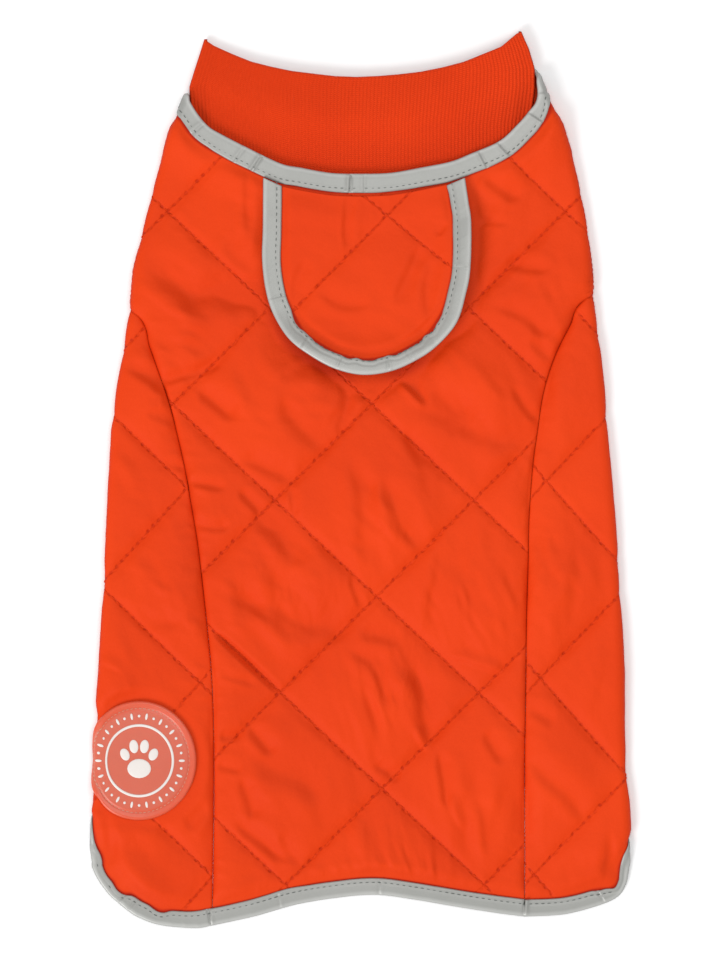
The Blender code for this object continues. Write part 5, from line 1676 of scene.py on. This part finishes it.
def tape_cloth():
    """Grey reflective tape, with a painted highlight at its fold and painted shade where it turns
    away from the eye.
    """
    material, tree, shader = finish_of("grey_reflective_tape", 0.42, Metallic=0.15)
    cloth = uv_of(tree, "cloth")
    # painted highlight along the fold
    fold = times_plus(tree, axes_of(tree, cloth)[1], -1 / (FOLD_SHINE * MM), 1.0, clamp=True)
    colour = blend(tree, math_node(tree, "MULTIPLY", fold, 0.4),
                   tinted(tree, TAPE_DARK, TAPE_LIGHT, 0.25), (*TAPE_HIGHLIGHT, 1))
    # painted shade where the tape turns away from the eye
    coloured(tree, shader, colour, TAPE_TURNED_SHADE, 0.9)
    weave = placed(tree, "weave", Cloth=cloth)["Height"]
    beads = noise_node(tree, at_object(tree), 2600.0, 1.0)
    bumped(tree, shader, (weave, 0.2, 0.06), (beads, 0.15, 0.05))
    return material


def badge_rubber():
    """Soft salmon rubber, more orange in its thin rim, where the cloth shows through."""
    material, tree, shader = finish_of(
        "salmon_rubber", 0.36, Coat_Weight=0.15, Coat_Roughness=0.25, Subsurface_Weight=0.25,
        Subsurface_Scale=0.004)
    middle = (BADGE["x"] * MM, BADGE["v"] * MM, 0)
    away = node_of(tree, "VectorMath", {0: uv_of(tree, "cloth"), 1: middle}, operation="DISTANCE")
    rim = times_plus(tree, away.outputs["Value"], 1 / (RIM_FADE * MM),
                     -(BADGE["radius"] - BADGE_SEWN_IN - 2.5) / RIM_FADE, clamp=True)
    colour = blend(tree, rim, tinted(tree, RUBBER_DARK, RUBBER_LIGHT, 0.15), (*RUBBER_RIM, 1))
    coloured(tree, shader, colour)
    bumped(tree, shader, (noise_node(tree, at_object(tree), 700.0, 3.0), 0.25, 0.12))
    return material


def plain_finish(name, rough, dark, light, fleck, **settings):
    """A material of one uneven colour."""
    material, tree, shader = finish_of(name, rough, **settings)
    coloured(tree, shader, tinted(tree, dark, light, fleck))
    return material


def thread_finish(name, colour):
    return plain_finish(name, 0.8, [0.8 * part for part in colour], colour, 0.3,
                        Specular_IOR_Level=0.12)


# ---------------------------------------------------------------- what is made


def panel_edges():
    """The four edges of each panel on the map: bottom, right, top and left."""
    cut = int(np.argmax(LINES["hem_left"][:, 1] < SIDE_CORNER))
    upper_left, lower_left = LINES["hem_left"][: cut + 1][::-1], LINES["hem_left"][cut:]
    cut = len(LINES["hem_right"]) - int(np.argmax(LINES["hem_right"][::-1, 1] < SIDE_CORNER))
    lower_right, upper_right = LINES["hem_right"][: cut + 1], LINES["hem_right"][cut:]
    return {
        "back": (run_of("hem_back"), run_of("seam_right", "leg_back_right", "chest_right"),
                 run_of("neck_back"), run_of("seam_left", "leg_back_left", "chest_left")),
        "left": (lower_left, run_of("seam_left"), run_of("leg_side_left"),
                 np.vstack([upper_left, run_of("-belly_left")[1:]])),
        "right": (lower_right, np.vstack([upper_right, run_of("-belly_right")[1:]]),
                  run_of("-leg_side_right"), run_of("seam_right")),
    }


def rim_line(bottom, right, top, left):
    """Four edges joined to one closed outline."""
    return np.vstack([bottom, right[1:], top[::-1][1:], left[::-1][1:-1]])


def wall_belly(u, v, x):
    """The belly's thickness: full between the quilting seams, so that it rests flat."""
    flat = 1 - smooth((from_field(FIELDS["bound"], u, v) - BED_EDGE) / BED_FADE)
    a, b = quilt_map(x, v, "belly")
    pillow = pillow_of(a, b) * (1 - flat)
    seam = quilting_groove(a, b) * (1 - flat)
    level = UNDER_WALL - 2 * TAPE_LIFT * flat - GROOVE * (1 - flat) * (1 - smooth(3 * pillow))
    return level - 0.5 * GROOVE_DEPTH * seam


def make_belly():
    """The belly panel, on a map of its own that is seen from below."""
    rear, neck = LINES["belly_end"][::-1] * MIRROR, LINES["neck_belly"][::-1] * MIRROR
    right, left = (
        np.vstack([LINES["belly_" + side][::-1], LINES["leg_belly_" + side][::-1][1:],
                   LINES["chest_" + side][1:]]) * MIRROR for side in ("left", "right"))
    grid = narrowed(patch(rear, right, neck, left, *BELLY_GRID))
    plain = grid[::COARSE, ::COARSE]
    tube, plain_tube = to_tube(grid, "belly"), to_tube(plain, "belly")
    outer = place(*split(tube), wall_belly(*split(tube), grid[..., 0]))
    inner = place(*split(plain_tube), 0 * plain[..., 0])
    maps = cloth_maps(grid, "belly", 0 * grid[..., 0] + 50.0)
    piece = quilted("belly_panel_cloth", "belly_panel", outer, inner, maps)
    thread = quilting_stitches(
        "belly_stitches", "belly", rim_line(rear, right, neck, left), lambda u, v: 0 * u,
        lambda c: wall_belly(*to_tube(c, "belly").T, c[:, 0]), chart="belly")


def make_quilted_panels():
    """The back and the two sides, which reach round the side folds to the underside."""
    for quilt, rim in panel_edges().items():
        back = quilt == "back"
        name = "back_panel" if back else "side_panel_" + quilt
        grid = narrowed(patch(*rim, *(BACK_GRID if back else SIDE_GRID)))
        plain = grid[::COARSE, ::COARSE]
        outer = place(*split(grid), padded_wall(*split(grid), quilt))
        inner = place(*split(plain),
                      LINING_DIP * quilting_groove(*quilt_map(*split(plain), quilt)))
        maps = cloth_maps(grid, quilt, tape_gap(*split(grid)))
        piece = quilted(name + "_cloth", name, outer, inner, maps)
        covered = {"back": near_flap, "left": near_badge}.get(quilt, lambda u, v: 0 * u)
        thread = quilting_stitches(name + "_stitches", quilt, rim_line(*rim), covered,
                                   lambda c: padded_wall(c[:, 0], c[:, 1], quilt))


NECK = (("neck_back", -1, "tube"), ("neck_belly", 1, "belly"))
REAR = (("hem_left", 1, "tube"), ("hem_back", 1, "tube"), ("hem_right", 1, "tube"),
        ("belly_end", -1, "belly"))
LEG_LEFT = (("leg_back_left", -1, "tube"), ("leg_side_left", -1, "tube"),
            ("leg_belly_left", -1, "belly"))
LEG_RIGHT = (("leg_back_right", 1, "tube"), ("leg_belly_right", 1, "belly"),
             ("leg_side_right", 1, "tube"))


def make_tapes():
    """The bindings of the neck, the hem and the two leg openings."""
    for name, parts, width, pleats, rests in (
        ("neck_binding", NECK, TAPE_WIDTH, NECK_PLEATS, "back_panel_cloth"),
        ("hem_binding", REAR, HEM_TAPE_WIDTH, HEM_PLEATS, "stage_floor"),
        ("leg_binding_left", LEG_LEFT, LEG_TAPE_WIDTH, (), "stage_floor"),
        ("leg_binding_right", LEG_RIGHT, LEG_TAPE_WIDTH, (), "stage_floor"),
    ):
        piece, length = make_tape(name + "_tape", name, parts, width, pleats)
        threads = tape_stitches(name + "_stitches", tape_path(parts), width)


def stood(name, data, at):
    """An object of the stage, at its place."""
    thing = bpy.data.objects.new(name, data)
    thing.location = at
    bpy.context.scene.collection.objects.link(thing)
    return thing


def stage():
    """A plain pale floor, a large soft light low on the left, a weak one above, an even sky, and
    the camera, which looks straight down."""
    mesh = bpy.data.meshes.new("stage_floor")
    half = FLOOR_SIZE / 2
    mesh.from_pydata([(-half, -half, 0), (half, -half, 0), (half, half, 0), (-half, half, 0)],
                     [], [(0, 1, 2, 3)])
    material, _, shader = finish_of("pale_floor", 0.9)
    shader.inputs["Base Color"].default_value = FLOOR_COLOUR
    mesh.materials.append(material)
    floor = stood("stage_floor", mesh, (0, 0, -0.0002))
    world = bpy.data.worlds.new("studio")
    world.use_nodes = True
    sky = world.node_tree.nodes["Background"].inputs
    sky["Color"].default_value, sky["Strength"].default_value = (1, 1, 1, 1), SKY
    bpy.context.scene.world = world
    for name, at, size, power in LIGHTS:
        data = bpy.data.lights.new(name, "AREA")
        data.shape, data.size, data.energy = "DISK", size, power
        stood(name, data, at).rotation_euler = (-Vector(at)).to_track_quat("-Z", "Y").to_euler()
    camera = bpy.data.cameras.new("camera")
    camera.lens, camera.sensor_width = LENS, 36.0
    bpy.context.scene.camera = stood("camera", camera, CAMERA)
    bpy.context.scene.view_settings.view_transform = "Standard"


SHELL = shell_cloth()
KNIT = knit_cloth()
TAPE_CLOTH = tape_cloth()
GREY_THREAD = thread_finish("grey_thread", (0.16, 0.17, 0.16))
ORANGE_THREAD = thread_finish("orange_thread", (0.72, 0.048, 0.006))
PALE_THREAD = thread_finish("pale_thread", (0.74, 0.36, 0.26))
RUBBER = badge_rubber()
PRINT = plain_finish("white_rubber_marks", 0.45, (0.72, 0.66, 0.62), (0.88, 0.84, 0.8), 0.15)

stage()
make_quilted_panels()
make_belly()
make_tapes()
make_flap()
make_flap_tape()
make_collar()
make_badge()
make_print()
